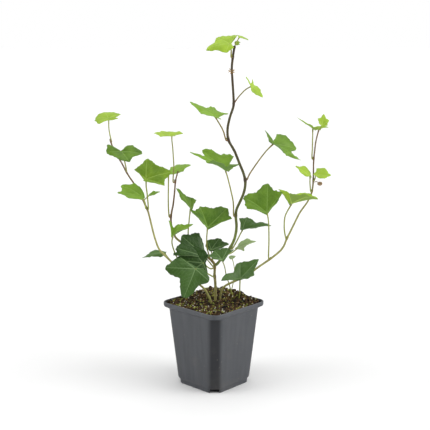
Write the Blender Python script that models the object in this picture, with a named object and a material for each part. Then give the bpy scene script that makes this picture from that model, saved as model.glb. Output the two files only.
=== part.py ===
"""Potted ivy: a young trailing ivy with four shoots and thirty-two leaves in a square plastic nursery pot.

Run it with blender --background --python part.py, or from Blender's text editor. The pot stands on z = 0 with its
sides along X and Y and the middle of its underside at the origin. The plant is described in its own axes, which
are turned about Z by PLANT_TURN: X runs across the spread of the shoots, Y from the front to the back, Z up.
Lengths below are in millimetres and are turned into metres as each mesh is made.
"""

import math
from dataclasses import dataclass

import bpy
from mathutils import Matrix, Vector

MM = 0.001
PLANT_TURN = math.radians(43.2)
GAP = 0.3  # clearance between neighbouring pieces

# Pot
POT_HEIGHT = 100.0
RIM_HALF = 45.0
RIM_CORNER = 10.0
RIM_DEPTH = 6.0
RIM_LIP = 1.4  # width of the rim's top edge
WALL_TOP_HALF = 42.4  # outside, just under the rim
WALL_FOOT_HALF = 35.0  # outside, just above the step of the foot
FOOT_HALF = 33.4
FOOT_HEIGHT = 5.5
WALL = 1.3
FLOOR = 1.6
CHAMFER = 10.0  # leg of the flat facet that cuts each corner of the wall
EDGE_ROUND = 3.2  # softening of the facet's two edges
CORNER_STEPS = 6  # points round each corner
NOTCH_WIDTH = 11.0
NOTCH_HEIGHT = 4.3
HOLE_RADIUS = 4.0
HOLE_PLACE = 17.0

# Soil
SOIL_EDGE = 96.3  # height of the soil along the pot's wall
SOIL_RISE = 5.0  # how far the mound stands above that
MOUND_BACK = 22.0  # the mound's middle, behind the middle of the pot
MOUND_WIDTH = 34.0
MOUND_DEPTH = 24.0
SOIL_RINGS = (0.86, 0.66, 0.44, 0.22)

# Plant
STEM_SIDES = 7
STALK_SIDES = 6
BLADE = 0.5  # thickness of a leaf blade
STALK_RADIUS = 0.8
COLLAR_RADIUS = 0.95  # where the blade's underside meets the stalk
STEEPEST = 0.4  # limits how much deeper the underside lies where the blade is steep
LEAST_NOTCH = 2.6
SOCKET_ROOM = 0.8
SPOKES = 2  # outline points in each half gap between two lobes


@dataclass
class Shoot:
    """A woody shoot: the points that its middle passes through and its radius at the root and at the tip."""

    name: str
    radii: tuple
    path: list
    colour: tuple = (0.13, 0.10, 0.05)
    clear_of: str = ""  # a shoot that this one forks from


@dataclass
class Leaf:
    """A five-lobed leaf: the end of its stalk, and the vectors from there to the ends of its five main veins.

    The lobes go anticlockwise seen from above: basal right, side right, tip, side left, basal left.
    dips gives how far out the margin stays in the four gaps between them, as a share of the lobes' length.
    """

    name: str
    shoot: str
    base: tuple
    lobes: list
    stalk: list
    dips: tuple = (0.9, 0.9, 0.9, 0.9)
    dome: float = 0.10
    point: float = 0.35  # how pointed the side lobes are
    tip: float = 0.60  # how pointed the tip is
    heel: float = 0.0  # how far the basal lobes bulge back past the stalk
    notch: float = 0.08  # how far behind the stalk the margin meets
    lean: float = 0.0  # how far the blade's thickness leans from the leaf's up direction to its own slope
    finish: str = "mature"


FINISHES = {
    "young": (0.34, 0.52, 0.06),
    "mature": (0.14, 0.30, 0.04),
    "dark": (0.04, 0.13, 0.03),
    "pale": (0.25, 0.38, 0.14),
}

SHOOTS = [
    Shoot("shoot_left_inner", (1.9, 0.9), [
        (2, 3, 84), (2, 2, 97), (2, 2, 105), (2, 1, 121), (1, 0, 133), (1, 0, 145), (-6, 3, 152), (-21, 8, 163),
        (-40, 14, 169), (-48, 16, 179), (-51, 17, 197), (-48, 18, 213), (-46, 19, 231), (-45, 20, 242),
        (-42, 21, 253)]),
    Shoot("shoot_centre", (1.5, 0.9), [
        (5, 0, 146), (8, 1, 150), (14, 1, 157), (20, 2, 165), (25, 4, 176), (27, 5, 189), (26, 6, 201),
        (27, 6, 210), (32, 6, 221), (36, 6, 232), (37, 6, 242), (35, 6, 252), (30, 7, 264), (24, 8, 279),
        (18, 8, 289), (16, 9, 299), (17, 9, 310), (20, 10, 321), (23, 10, 330), (23, 11, 339), (22, 11, 354),
        (21, 12, 369), (21, 12, 376), (22, 12, 386), (24, 13, 398)],
        colour=(0.07, 0.05, 0.03), clear_of="shoot_left_inner"),
    Shoot("shoot_left_outer", (1.5, 0.8), [
        (-2, -2, 84), (-3, -3, 98), (-6, -4, 107), (-12, -7, 118), (-25, -13, 130), (-39, -17, 142),
        (-50, -20, 154), (-62, -22, 167), (-66, -23, 177), (-69, -24, 188), (-73, -26, 207), (-75, -27, 215),
        (-79, -27, 224), (-83, -26, 235), (-89, -26, 244), (-97, -26, 256), (-103, -26, 268), (-109, -26, 278),
        (-114, -26, 289), (-116, -26, 296)]),
    Shoot("shoot_right", (1.5, 0.8), [
        (7, 6, 84), (7, 4, 97), (9, 4, 111), (13, 4, 117), (21, 5, 121), (30, 5, 125), (40, 5, 130),
        (49, 5, 137), (57, 5, 143), (67, 5, 150), (79, 5, 160), (84, 5, 168), (86, 5, 174), (93, 9, 187),
        (102, 15, 204), (110, 19, 214), (114, 21, 221), (117, 22, 229), (118, 22, 240), (118, 22, 252),
        (118, 22, 266), (119, 21, 278), (120, 20, 289), (123, 19, 302)]),
]

LEAVES = [
    # The tall shoot in the middle, from its tip down
    Leaf("leaf_top", "shoot_centre", (18, 10, 401),
         [(9, 14, 9), (-15, 12, 6), (-27, -6, -7), (-4, -8, -10), (5, -5, -4)],
         [(20, 10, 386), (20, 10, 394)],
         dips=(0.95, 0.72, 0.75, 0.85), dome=0.12, heel=0.12, finish="young"),
    Leaf("leaf_tip_bud", "shoot_centre", (27, 16.5, 402),
         [(4, 3, 0), (1, 3, 2), (-3, 0, 0), (-1, -3, -3), (3, -3, -2)],
         [(25.5, 15.5, 399.5)], finish="young"),
    Leaf("leaf_tip_small", "shoot_centre", (30, 15, 409),
         [(-2, -4, -1), (3, -4, -2), (10, 0, -4), (4, 4, 0), (-4, 2, 1)],
         [(24.5, 12, 399), (26.5, 13, 403)],
         dips=(0.8, 0.9, 0.9, 0.5), heel=0.12, finish="young"),
    Leaf("leaf_upper_right", "shoot_centre", (44, 11, 353),
         [(-7, -4, 11), (1, -7, -7), (13, -2, -13), (9, 8, -3), (1, 7, 8)],
         [(24, 10, 333), (30, 11, 342), (37, 11, 349)],
         dips=(0.4, 0.9, 0.85, 0.5), finish="young"),
    Leaf("leaf_upper_left", "shoot_centre", (2, 8, 318),
         [(16, 12, 3), (-3, 16, 10), (-30, 2, 16), (-16, -10, 5), (7, -8, -2)],
         [(14.5, 7, 291), (11, 8, 302), (6, 8, 311)],
         dips=(0.7, 0.62, 0.75, 0.35)),
    Leaf("leaf_right_fold", "shoot_centre", (69, 4, 287),
         [(-11, -7, 17), (12, -9, -10), (32, -2, -18), (27, 10, -8), (5, 12, 11)],
         [(39, 6, 245), (42, 5, 252), (52, 5, 267), (61, 4, 279)],
         dips=(0.2, 0.8, 0.72, 0.98), point=0.05),
    Leaf("leaf_centre_fold", "shoot_centre", (14, 2, 256),
         [(10, 12, 16), (-27, 12, 20), (-42, -2, 24), (-21, -11, 11), (16, -8, 8)],
         [(23.5, 4, 203), (23, 5, 218), (20, 4, 233), (16, 3, 249)],
         dips=(0.82, 0.72, 0.72, 0.2), point=0.1),
    Leaf("leaf_dark_right", "shoot_centre", (34, 6, 185),
         [(4, -8, 3), (16, -6, 5), (34, 2, 5), (6, 12, 14), (-4, 8, 13)],
         [(22, 3, 163), (27, 5, 171), (31, 6, 179)],
         dips=(0.85, 0.8, 0.7, 0.95), point=0.1, finish="dark"),
    Leaf("leaf_pale_right", "shoot_centre", (28, 14, 161),
         [(8, -6, -2), (11, -4, 5), (23, 2, 8), (12, 6, 11), (3, 4, 5)],
         [(16.5, 4, 156), (22, 9, 157)],
         dips=(0.8, 0.8, 0.9, 0.9), lean=1.0, finish="pale"),
    # The inner shoot on the left
    Leaf("leaf_flat_top", "shoot_left_inner", (-49, 22, 295),
         [(13, 6, 2), (-15, 13, 3), (-21, -2, 3), (-13, -13, 0), (5, -11, 0)],
         [(-48, 19, 241), (-47, 21, 257), (-48, 22, 278), (-49, 22, 289)],
         dips=(0.8, 0.85, 0.9, 0.5), dome=0.03, heel=0.12, finish="young"),
    Leaf("leaf_inner_edge", "shoot_left_inner", (-54, 32, 250),
         [(3, -8, -2), (17, -9, 2), (27, 2, 9), (10, 14, 8), (3, 8, 4)],
         [(-53, 19, 199), (-54, 22, 214), (-54, 28, 232)],
         dips=(0.85, 0.85, 0.85, 0.85)),
    Leaf("leaf_mid_small", "shoot_left_inner", (-27, 8, 210),
         [(7, 9, 9), (-1, 9, 13), (-17, 0, 25), (-11, -6, 13), (-3, -6, 5)],
         [(-25, 7, 167), (-30, 9, 178), (-29, 9, 195)],
         dips=(0.98, 0.72, 0.85, 0.85), point=0.05),
    Leaf("leaf_mid_wide", "shoot_left_inner", (-7, -4, 190),
         [(29, 8, 9), (23, 16, 20), (-9, 8, 23), (-19, -4, 21), (-5, -8, 6)],
         [(-5, 1, 154), (-8, 0, 166), (-8, -2, 178)],
         dips=(0.92, 0.8, 0.9, 0.88), point=0.2),
    Leaf("leaf_dark_top", "shoot_left_inner", (-10, -10, 156),
         [(-2, 10, 15), (-8, 12, 27), (-28, 4, 24), (-34, -6, 12), (-38, -12, 5)],
         [(-1, -2, 143), (-5, -6, 149)],
         dips=(0.97, 0.93, 0.9, 0.93), point=0.05, tip=0.1, lean=1.0, finish="dark"),
    Leaf("leaf_dark_middle", "shoot_left_inner", (-3, 6, 161),
         [(12, -2, 2), (21, 4, 6), (10, 10, 12), (-4, 8, 10), (-7, 2, 4)],
         [(-1, 3, 148), (-2, 6, 154)],
         dips=(0.88, 0.88, 0.88, 0.88), point=0.1, tip=0.1, heel=0.12, finish="dark"),
    Leaf("leaf_dark_front", "shoot_left_inner", (-21, -30, 147),
         [(-17, 2, 13), (-34, -6, 3), (-13, -12, -31), (16, -6, -13), (9, 4, 0)],
         [(0, -2, 130), (-7, -10, 136), (-15, -21, 143)],
         dips=(0.98, 0.68, 0.78, 0.95), dome=0.08, point=0.05, tip=0.35, heel=0.05, finish="dark"),
    # The outer shoot on the left
    Leaf("leaf_far_left_top", "shoot_left_outer", (-117, -26, 319),
         [(13, 8, 3), (-7, 14, 6), (-16, 0, -2), (-9, -14, -5), (12, -12, 1)],
         [(-114.5, -24.5, 293), (-116, -25.5, 300), (-117, -26, 308)],
         dips=(0.95, 0.95, 0.9, 0.55), dome=0.22, heel=0.05, notch=0.4, finish="young"),
    Leaf("leaf_far_left", "shoot_left_outer", (-102, -38, 283),
         [(-15, 4, 8), (-16, -6, 0), (10, -18, -9), (23, -8, -1), (6, 6, 7)],
         [(-98, -28, 260), (-99, -32, 269), (-101, -35, 278)],
         dips=(0.97, 0.8, 0.78, 0.85), point=0.1, heel=0.12),
    Leaf("leaf_left_star", "shoot_left_outer", (-76, -30, 251),
         [(-3, -6, 0), (21, -10, -5), (29, 0, 9), (0, 16, 21), (-14, 10, 9)],
         [(-74, -29, 217), (-75, -28, 232), (-76, -30, 243)],
         dips=(0.75, 0.82, 0.7, 0.85), dome=0.08, finish="young"),
    Leaf("leaf_left_tiny", "shoot_left_outer", (-74, -23, 231),
         [(1, -3, 1), (6, -4, 2), (13, 0, 5), (5, 4, 5), (0, 3, 1)],
         [(-79, -25, 226.5), (-77, -24, 228)],
         dips=(0.8, 0.8, 0.8, 0.8)),
    Leaf("leaf_left_low", "shoot_left_outer", (-79, -42, 232),
         [(-4, 10, 11), (-25, 10, 12), (-28, 0, 5), (-16, -12, 2), (-1, -8, -1)],
         [(-77, -30, 218), (-77, -36, 225)],
         dips=(0.95, 0.88, 0.85, 0.75), dome=0.15, point=0.1, heel=0.2),
    Leaf("leaf_cup", "shoot_left_outer", (-48, 0, 179),
         [(6, -7, 7), (17, -6, 10), (24, 2, 14), (6, 7, 13), (-5, 3, 19)],
         [(-31, -12, 136), (-39, -8, 147), (-46, -4, 161), (-49, -1, 171)],
         dips=(0.9, 0.9, 0.85, 0.6)),
    Leaf("leaf_left_blade", "shoot_left_outer", (-57, -14, 163),
         [(1, 5, -1), (-12, 7, 1), (-26, 0, -6), (-14, -5, -4), (-1, -4, -3)],
         [(-47, -17, 150), (-51, -15, 154), (-55, -14, 159)],
         finish="dark"),
    # The shoot on the right
    Leaf("leaf_right_tip", "shoot_right", (127, 19, 307),
         [(6, 0, 0), (8, 2, 6), (2, 6, 13), (-5, 2, 8), (-4, -1, 2)],
         [(124, 19, 303)],
         dips=(0.8, 0.8, 0.8, 0.8), heel=0.12, finish="young"),
    Leaf("leaf_right_top", "shoot_right", (116, 19, 303),
         [(19, 9, 0), (-5, 6, 5), (-18, 0, 13), (-10, -4, 6), (9, -6, -1)],
         [(116, 22, 268), (116, 21, 281), (116, 20, 293)],
         dips=(0.25, 0.6, 0.6, 0.25), finish="young"),
    Leaf("leaf_right_pair_left", "shoot_right", (114, 19, 247),
         [(1, 4, 3), (-8, 6, 12), (-18, 0, 12), (-13, -6, 6), (-4, -5, 0)],
         [(115, 20, 229), (114, 20, 238)],
         dips=(0.88, 0.88, 0.88, 0.88), finish="young"),
    Leaf("leaf_right_pair_right", "shoot_right", (120, 17, 249),
         [(2, -6, -3), (11, -7, -3), (18, -2, -1), (12, 8, 7), (2, 8, 6)],
         [(119, 20, 242), (120, 18, 246)], finish="young"),
    Leaf("leaf_right_boat", "shoot_right", (91, 2, 217),
         [(-4, -8, 13), (21, -10, 11), (31, -2, 6), (18, 7, 12), (-15, 12, 16)],
         [(85, 4, 176), (83, 3, 188), (84, 2, 203)],
         dips=(0.75, 1.0, 0.95, 0.35), finish="young"),
    Leaf("leaf_right_big", "shoot_right", (62, -6, 208),
         [(11, 0, 11), (18, 6, 23), (1, 14, 32), (-27, 6, 18), (-23, -6, 6)],
         [(65, 4, 152), (65, 0, 174), (64, -4, 197)],
         dips=(0.92, 0.85, 0.82, 0.97), dome=0.12, point=0.15, notch=0.03),
    # Leaves on stalks of their own, straight from the soil
    Leaf("leaf_low_right", "shoot_right", (31, -14, 131),
         [(8, -8, 2), (16, -4, 5), (22, 8, 21), (0, 8, 18), (-22, -12, 0)],
         [(29, 15, 85), (30, 10, 98), (31, 5, 108), (31, -4, 120)],
         dips=(0.9, 0.75, 0.85, 0.5), point=0.15, finish="dark"),
    Leaf("leaf_gloss", "shoot_right", (10, -12, 153),
         [(14, 6, 11), (7, 8, 12), (-9, 4, 10), (-16, -4, 6), (-10, -8, 3)],
         [(27, 22, 85), (24, 18, 98), (21, 14, 108), (18, 8, 120), (15, 2, 130), (13, -6, 143)],
         point=0.1, finish="dark"),
    Leaf("leaf_pale_tiny", "shoot_right", (22, 16, 149),
         [(5, 3, 1), (0, 3, 2), (-4, 0, 1), (-2, -3, -1), (1, -3, -1)],
         [(19, 24, 86), (20, 20, 100), (24, 16, 120), (25, 15, 132), (24, 16, 141)],
         heel=0.12, finish="pale"),
]


def clear_scene():
    """Remove everything that the startup scene holds."""
    for item in list(bpy.data.objects):
        bpy.data.objects.remove(item, do_unlink=True)


def material(name, colour, roughness):
    """A plain Principled material."""
    made = bpy.data.materials.new(name)
    made.use_nodes = True
    shader = made.node_tree.nodes["Principled BSDF"]
    shader.inputs["Base Color"].default_value = (*colour, 1.0)
    shader.inputs["Roughness"].default_value = roughness
    shader.inputs["Metallic"].default_value = 0.0
    made.diffuse_color = (*colour, 1.0)
    return made


def solid(name, points, faces, surface, parent=None):
    """An object from points in millimetres and faces."""
    mesh = bpy.data.meshes.new(name)
    mesh.from_pydata([Vector(p) * MM for p in points], [], faces)
    mesh.update()
    made = bpy.data.objects.new(name, mesh)
    bpy.context.scene.collection.objects.link(made)
    if surface is not None:
        mesh.materials.append(surface)
    made.parent = parent
    return made


def combine(target, helper, operation):
    """Join helper to target, or cut it out, with an exact Boolean that leaves helper out of the model."""
    helper.hide_render = True
    helper.display_type = "WIRE"
    boolean = target.modifiers.new(helper.name, "BOOLEAN")
    boolean.operation = operation
    boolean.solver = "EXACT"
    boolean.object = helper


def loft(rings, close_bottom=True, close_top=True):
    """Points and faces of a tube through rings that run anticlockwise seen from the far end."""
    count = len(rings[0])
    points = [p for ring in rings for p in ring]
    faces = []
    for level in range(len(rings) - 1):
        for i in range(count):
            j = (i + 1) % count
            a, b = level * count, (level + 1) * count
            faces.append((a + i, a + j, b + j, b + i))
    if close_bottom:
        faces.append(tuple(reversed(range(count))))
    if close_top:
        last = (len(rings) - 1) * count
        faces.append(tuple(range(last, last + count)))
    return points, faces


# ---- pot ----

def rounded_corner(half):
    """Corner points of the rim's square, in the quarter where x and y are positive."""
    middle = half - RIM_CORNER
    steps = [math.pi / 2 * k / (CORNER_STEPS - 1) for k in range(CORNER_STEPS)]
    return [(middle + RIM_CORNER * math.cos(a), middle + RIM_CORNER * math.sin(a)) for a in steps]


def cut_corner(half):
    """Corner points of the wall's square: a flat facet with softened edges."""
    before = Vector((half, half - CHAMFER - EDGE_ROUND))
    edge = Vector((half, half - CHAMFER))
    after = edge + EDGE_ROUND * Vector((-1, 1)).normalized()
    first = [before, before * 0.25 + edge * 0.5 + after * 0.25, after]
    return [tuple(p) for p in first] + [(p.y, p.x) for p in reversed(first)]


def square_ring(corner, z):
    """The four turns of a corner's points, at height z."""
    ring = []
    for quarter in range(4):
        turn = Matrix.Rotation(quarter * math.pi / 2, 2)
        ring += [(*(turn @ Vector(p)), z) for p in corner]
    return ring


def wall_half(z):
    """Half the pot's outside width at height z, between the foot and the rim."""
    share = (z - FOOT_HEIGHT) / (POT_HEIGHT - RIM_DEPTH - FOOT_HEIGHT)
    return WALL_FOOT_HALF + (WALL_TOP_HALF - WALL_FOOT_HALF) * share


def build_pot(surface):
    """The pot: a tapered square cup with cut corners, a stepped foot, a flared rim and drain openings."""
    under_rim = POT_HEIGHT - RIM_DEPTH - 1.5
    rim_foot = POT_HEIGHT - RIM_DEPTH + 0.8
    outer = [
        square_ring(cut_corner(FOOT_HALF - 0.6), 0.0),
        square_ring(cut_corner(FOOT_HALF), 0.6),
        square_ring(cut_corner(FOOT_HALF + 0.2), FOOT_HEIGHT - 0.7),
        square_ring(cut_corner(WALL_FOOT_HALF), FOOT_HEIGHT + 1.7),
        square_ring(cut_corner(wall_half(under_rim)), under_rim),
        square_ring(rounded_corner(RIM_HALF - 0.8), rim_foot),
        square_ring(rounded_corner(RIM_HALF), rim_foot + 1.0),
        square_ring(rounded_corner(RIM_HALF), POT_HEIGHT - 0.4),
        square_ring(rounded_corner(RIM_HALF - 0.4), POT_HEIGHT),
    ]
    inner = [
        square_ring(rounded_corner(RIM_HALF - RIM_LIP), POT_HEIGHT),
        square_ring(rounded_corner(RIM_HALF - RIM_LIP - 0.2), rim_foot + 1.6),
        square_ring(cut_corner(wall_half(under_rim) - WALL), under_rim - 0.6),
        square_ring(cut_corner(WALL_FOOT_HALF - WALL), FOOT_HEIGHT + 2.4),
        square_ring(cut_corner(FOOT_HALF - WALL), FOOT_HEIGHT),
        square_ring(cut_corner(FOOT_HALF - WALL - 0.4), FLOOR),
    ]
    pot = solid("pot", *loft(outer + inner), surface)
    for quarter in range(4):
        turn = Matrix.Rotation(math.pi / 4 + quarter * math.pi / 2, 3, "Z")
        reach = FOOT_HALF * math.sqrt(2) - CHAMFER / math.sqrt(2)
        cut_box(pot, f"notch_{quarter}", turn, reach)
        drill(pot, f"drain_{quarter}", turn @ Vector((HOLE_PLACE * math.sqrt(2), 0, 0)))
    return pot


def cut_box(pot, name, turn, reach):
    """Cut the low opening through the foot at one corner."""
    corners = []
    for z in (-1.0, NOTCH_HEIGHT):
        for x, y in ((-4, -1), (3, -1), (3, 1), (-4, 1)):
            corners.append(turn @ Vector((reach + x, y * NOTCH_WIDTH / 2, z)))
    combine(pot, solid(name, *loft([corners[:4], corners[4:]]), None), "DIFFERENCE")


def drill(pot, name, place):
    """Cut one round drain hole through the floor."""
    rings = []
    for z in (-1.0, FLOOR + 1.0):
        angles = [2 * math.pi * k / 16 for k in range(16)]
        rings.append([(place.x + HOLE_RADIUS * math.cos(a), place.y + HOLE_RADIUS * math.sin(a), z)
                      for a in angles])
    combine(pot, solid(name, *loft(rings), None), "DIFFERENCE")


# ---- soil ----

def soil_height(x, y):
    """Height of the soil's surface: level at the wall, with a low mound toward the back of the plant."""
    place = Matrix.Rotation(-PLANT_TURN, 2) @ Vector((x, y))
    spread = (place.x / MOUND_WIDTH) ** 2 + ((place.y - MOUND_BACK) / MOUND_DEPTH) ** 2
    return SOIL_EDGE + SOIL_RISE * math.exp(-spread)


def build_soil(surface):
    """The block of potting soil that fills the pot, with its gently mounded top."""
    floor = FLOOR + GAP
    wall_top = POT_HEIGHT - RIM_DEPTH - 2.4
    sides = [
        square_ring(cut_corner(FOOT_HALF - WALL - 0.6 - GAP), floor),
        square_ring(cut_corner(FOOT_HALF - WALL - 0.2 - GAP), FOOT_HEIGHT),
        square_ring(cut_corner(WALL_FOOT_HALF - WALL - 0.2 - GAP), FOOT_HEIGHT + 3.2),
        square_ring(cut_corner(wall_half(wall_top) - WALL - 0.2 - GAP), wall_top),
    ]
    edge = square_ring(cut_corner(wall_half(wall_top) - WALL + 0.6), SOIL_EDGE)
    points, faces = loft(sides + [edge], close_top=False)
    count = len(edge)
    for share in SOIL_RINGS:
        points += [(x * share, y * share, soil_height(x * share, y * share)) for x, y, _ in edge]
    points.append((0, 0, soil_height(0, 0)))
    for level in range(len(sides), len(sides) + len(SOIL_RINGS)):
        for i in range(count):
            j = (i + 1) % count
            a, b = level * count, (level + 1) * count
            faces.append((a + i, a + j, b + j))
            faces.append((a + i, b + j, b + i))
    last = (len(sides) + len(SOIL_RINGS)) * count
    faces += [(last + i, last + (i + 1) % count, len(points) - 1) for i in range(count)]
    return solid("potting_soil", points, faces, surface)


def plant_socket(soil, name, path, radius):
    """Open a hole in the soil for a stem's buried end."""
    turn = Matrix.Rotation(PLANT_TURN, 3, "Z")
    low, high = Vector(path[0]), Vector(path[1])
    along = (high - low).normalized()
    run = [turn @ (low - along), turn @ low, turn @ (low + along * 26)]
    cutter = solid(f"socket_{name}", *tube(run, radius, radius, 10), None)
    combine(soil, cutter, "DIFFERENCE")


# ---- shoots and stalks ----

def smooth(path, steps):
    """A Catmull-Rom curve through the points of path, with steps pieces between two of them."""
    points = [Vector(p) for p in path]
    if len(points) == 2:
        return [points[0].lerp(points[1], k / steps) for k in range(steps + 1)]
    ends = [points[0] * 2 - points[1], *points, points[-1] * 2 - points[-2]]
    curve = []
    for a, b, c, d in zip(ends, ends[1:], ends[2:], ends[3:]):
        for k in range(steps):
            t = k / steps
            curve.append(0.5 * (2 * b + (c - a) * t + (2 * a - 5 * b + 4 * c - d) * t ** 2
                                + (3 * b - a - 3 * c + d) * t ** 3))
    curve.append(points[-1])
    return curve


def tube_rings(path, start_radius, end_radius, sides, across=(0.3, 1.0, 0.2)):
    """Rings round path, the first vertex of each on the side that across points to."""
    path = [Vector(p) for p in path]
    last = len(path) - 1
    across = Vector(across)
    rings = []
    for k, place in enumerate(path):
        ahead = (path[min(k + 1, last)] - path[max(k - 1, 0)]).normalized()
        across = (across - ahead * across.dot(ahead)).normalized()
        other = ahead.cross(across)
        radius = start_radius + (end_radius - start_radius) * k / last
        angles = [2 * math.pi * i / sides for i in range(sides)]
        rings.append([place + radius * (across * math.cos(a) + other * math.sin(a)) for a in angles])
    return rings


def tube(path, start_radius, end_radius, sides):
    """Points and faces of a round tube along path with closed ends."""
    return loft(tube_rings(path, start_radius, end_radius, sides))


def nearest_on(point, start, end):
    """The point of the line from start to end that lies nearest to point."""
    along = end - start
    share = (point - start).dot(along) / along.length_squared
    return start + along * min(max(share, 0.0), 1.0)


def keep_clear(path, radius, other, other_radii):
    """Push the points of a stem's path straight away from another stem, to where the two leave a gap."""
    moved = []
    steps = len(other) - 1
    for point in [Vector(p) for p in path]:
        runs = [nearest_on(point, a, b) for a, b in zip(other, other[1:])]
        k = min(range(steps), key=lambda i: (runs[i] - point).length)
        away = point - runs[k]
        distance = radius + GAP + other_radii[0] + (other_radii[1] - other_radii[0]) * k / steps
        if away.length < distance:
            point = runs[k] + away.normalized() * distance
        moved.append(point)
    return moved


# ---- leaves ----

def between(a, b, share):
    """The direction that lies at a share of the way round from a to b."""
    return a.normalized().slerp(b.normalized(), share)


def ease(share, point):
    """From a rounded dip at 0 to a lobe's end at 1: point = 0 makes the end round, 1 makes it sharp."""
    return point * share ** 1.6 + (1 - point) * share * share * (3 - 2 * share)


def leaf_margin(leaf):
    """Vectors from the end of the stalk to the points of the margin, anticlockwise from the basal notch."""
    lobes = [Vector(lobe) for lobe in leaf.lobes]
    ahead = lobes[2].normalized()
    notch = -ahead * max(leaf.notch * lobes[2].length, LEAST_NOTCH)
    heels = [0.55 * lobe - ahead * leaf.heel * lobe.length for lobe in (lobes[0], lobes[4])]
    shares = [k / SPOKES for k in range(SPOKES)]
    margin = [notch.lerp(heels[0], t) for t in shares]
    margin += [heels[0].lerp(lobes[0], t) for t in shares]
    for gap, (a, b) in enumerate(zip(lobes, lobes[1:])):
        dip = between(a, b, 0.5) * leaf.dips[gap] * (a.length + b.length) / 2
        leaving = leaf.tip if gap == 2 else leaf.point
        reaching = leaf.tip if gap == 1 else leaf.point
        for t in shares:
            length = dip.length + (a.length - dip.length) * ease(1 - t, leaving)
            margin.append(between(a, dip, t) * length)
        for t in shares:
            length = dip.length + (b.length - dip.length) * ease(t, reaching)
            margin.append(between(dip, b, t) * length)
    margin += [lobes[4].lerp(heels[1], t) for t in shares]
    margin += [heels[1].lerp(notch, t) for t in shares]
    return margin


def upward(leaf):
    """The direction that the leaf's upper side faces."""
    lobes = [Vector(lobe) for lobe in leaf.lobes]
    total = Vector()
    for a, b in zip(lobes, lobes[1:]):
        total += a.cross(b)
    return total.normalized()


def blade_normals(centre, rings):
    """The upper side's normal at each point of the blade's rings."""
    count = len(rings[0])
    normals = []
    inner = [centre] * count
    for level, ring in enumerate(rings):
        outer = rings[level + 1] if level + 1 < len(rings) else ring
        row = []
        for i in range(count):
            along = ring[(i + 1) % count] - ring[i - 1]
            row.append((outer[i] - inner[i]).cross(along).normalized())
        normals.append(row)
        inner = ring
    return normals


def underside(ring, normals, up, lean):
    """The ring's points on the blade's other side: straight below at lean 0, along their normals at lean 1."""
    lowered = []
    for point, normal in zip(ring, normals):
        away = up.lerp(normal, lean).normalized()
        lowered.append(point - away * BLADE / max(away.dot(normal), STEEPEST))
    return lowered


def blade_collar(centre, up, ring):
    """Where the blade's top is at the collar's radius, on each spoke from the centre to the ring."""
    collar = []
    for point in ring:
        out = point - centre
        level = (out - up * out.dot(up)).length
        collar.append(centre + out * min(COLLAR_RADIUS / max(level, 0.01), 0.6))
    return collar


def build_leaf(leaf, shoots, surface, plant):
    """A leaf in one closed skin: the blade's top, its margin, its underside, a collar and the stalk below it."""
    base = Vector(leaf.base)
    up = upward(leaf)
    margin = leaf_margin(leaf)
    count = len(margin)
    top = []
    for share in (0.5, 1.0):
        rise = up * leaf.dome * 2 * share * (1 - share)
        top.append([base + vector * share + rise * vector.length for vector in margin])
    normals = blade_normals(base, top)
    under = [underside(ring, row, up, leaf.lean) for ring, row in zip(top, normals)]

    back = -Vector(leaf.lobes[2]).normalized()
    back = (back - up * back.dot(up)).normalized()
    collar = underside(blade_collar(base, up, top[0]), normals[0], up, leaf.lean)
    curve = smooth([Vector(p) for p in leaf.stalk] + [base - up * 2.2], 2)
    curve = keep_clear(curve, STALK_RADIUS, *shoots[leaf.shoot])
    stalk = tube_rings([base - up * 0.8, *reversed(curve)], STALK_RADIUS, STALK_RADIUS, STALK_SIDES, back)[1:]
    stalk = [[ring[-k % STALK_SIDES] for k in range(STALK_SIDES)] for ring in stalk]

    points = [base] + top[0] + top[1] + under[1] + under[0] + collar
    faces = [(0, 1 + i, 1 + (i + 1) % count) for i in range(count)]
    for level in range(4):
        a, b = 1 + level * count, 1 + (level + 1) * count
        faces += [(a + i, b + i, b + (i + 1) % count, a + (i + 1) % count) for i in range(count)]
    last, first = 1 + 4 * count, len(points)
    each = count // STALK_SIDES
    for i in range(count):
        j = (i + 1) % count
        here = first + (i + each // 2) // each % STALK_SIDES
        there = first + (j + each // 2) // each % STALK_SIDES
        middle = (here,) if here == there else (here, there)
        faces.append((last + i, *middle, last + j))
    for level, ring in enumerate(stalk):
        points += ring
        a, b = first + level * STALK_SIDES, first + (level + 1) * STALK_SIDES
        if level + 1 < len(stalk):
            faces += [(a + i, b + i, b + (i + 1) % STALK_SIDES, a + (i + 1) % STALK_SIDES)
                      for i in range(STALK_SIDES)]
    faces.append(tuple(reversed(range(len(points) - STALK_SIDES, len(points)))))
    return solid(leaf.name, points, faces, surface, plant)


def build_bud(surface, plant):
    """A withered flower bud on a short stalk, beside the right-hand shoot."""
    stalk = [(119.5, 20.5, 239.5), (121, 19.5, 241), (124, 18, 239.5)]
    bud = solid("withered_bud", *tube(stalk, 0.5, 0.6, 6), surface, plant)
    middle = Vector((124.8, 17.6, 238.6))
    rings = []
    for k in range(1, 6):
        tilt = math.pi * k / 6
        radius = 3.0 * math.sin(tilt)
        height = -2.6 * math.cos(tilt)
        angles = [2 * math.pi * i / 10 for i in range(10)]
        rings.append([middle + Vector((radius * math.cos(a), radius * math.sin(a), height)) for a in angles])
    head = solid("head_of_bud", *loft(rings), None, plant)
    combine(bud, head, "UNION")
    return bud


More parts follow.
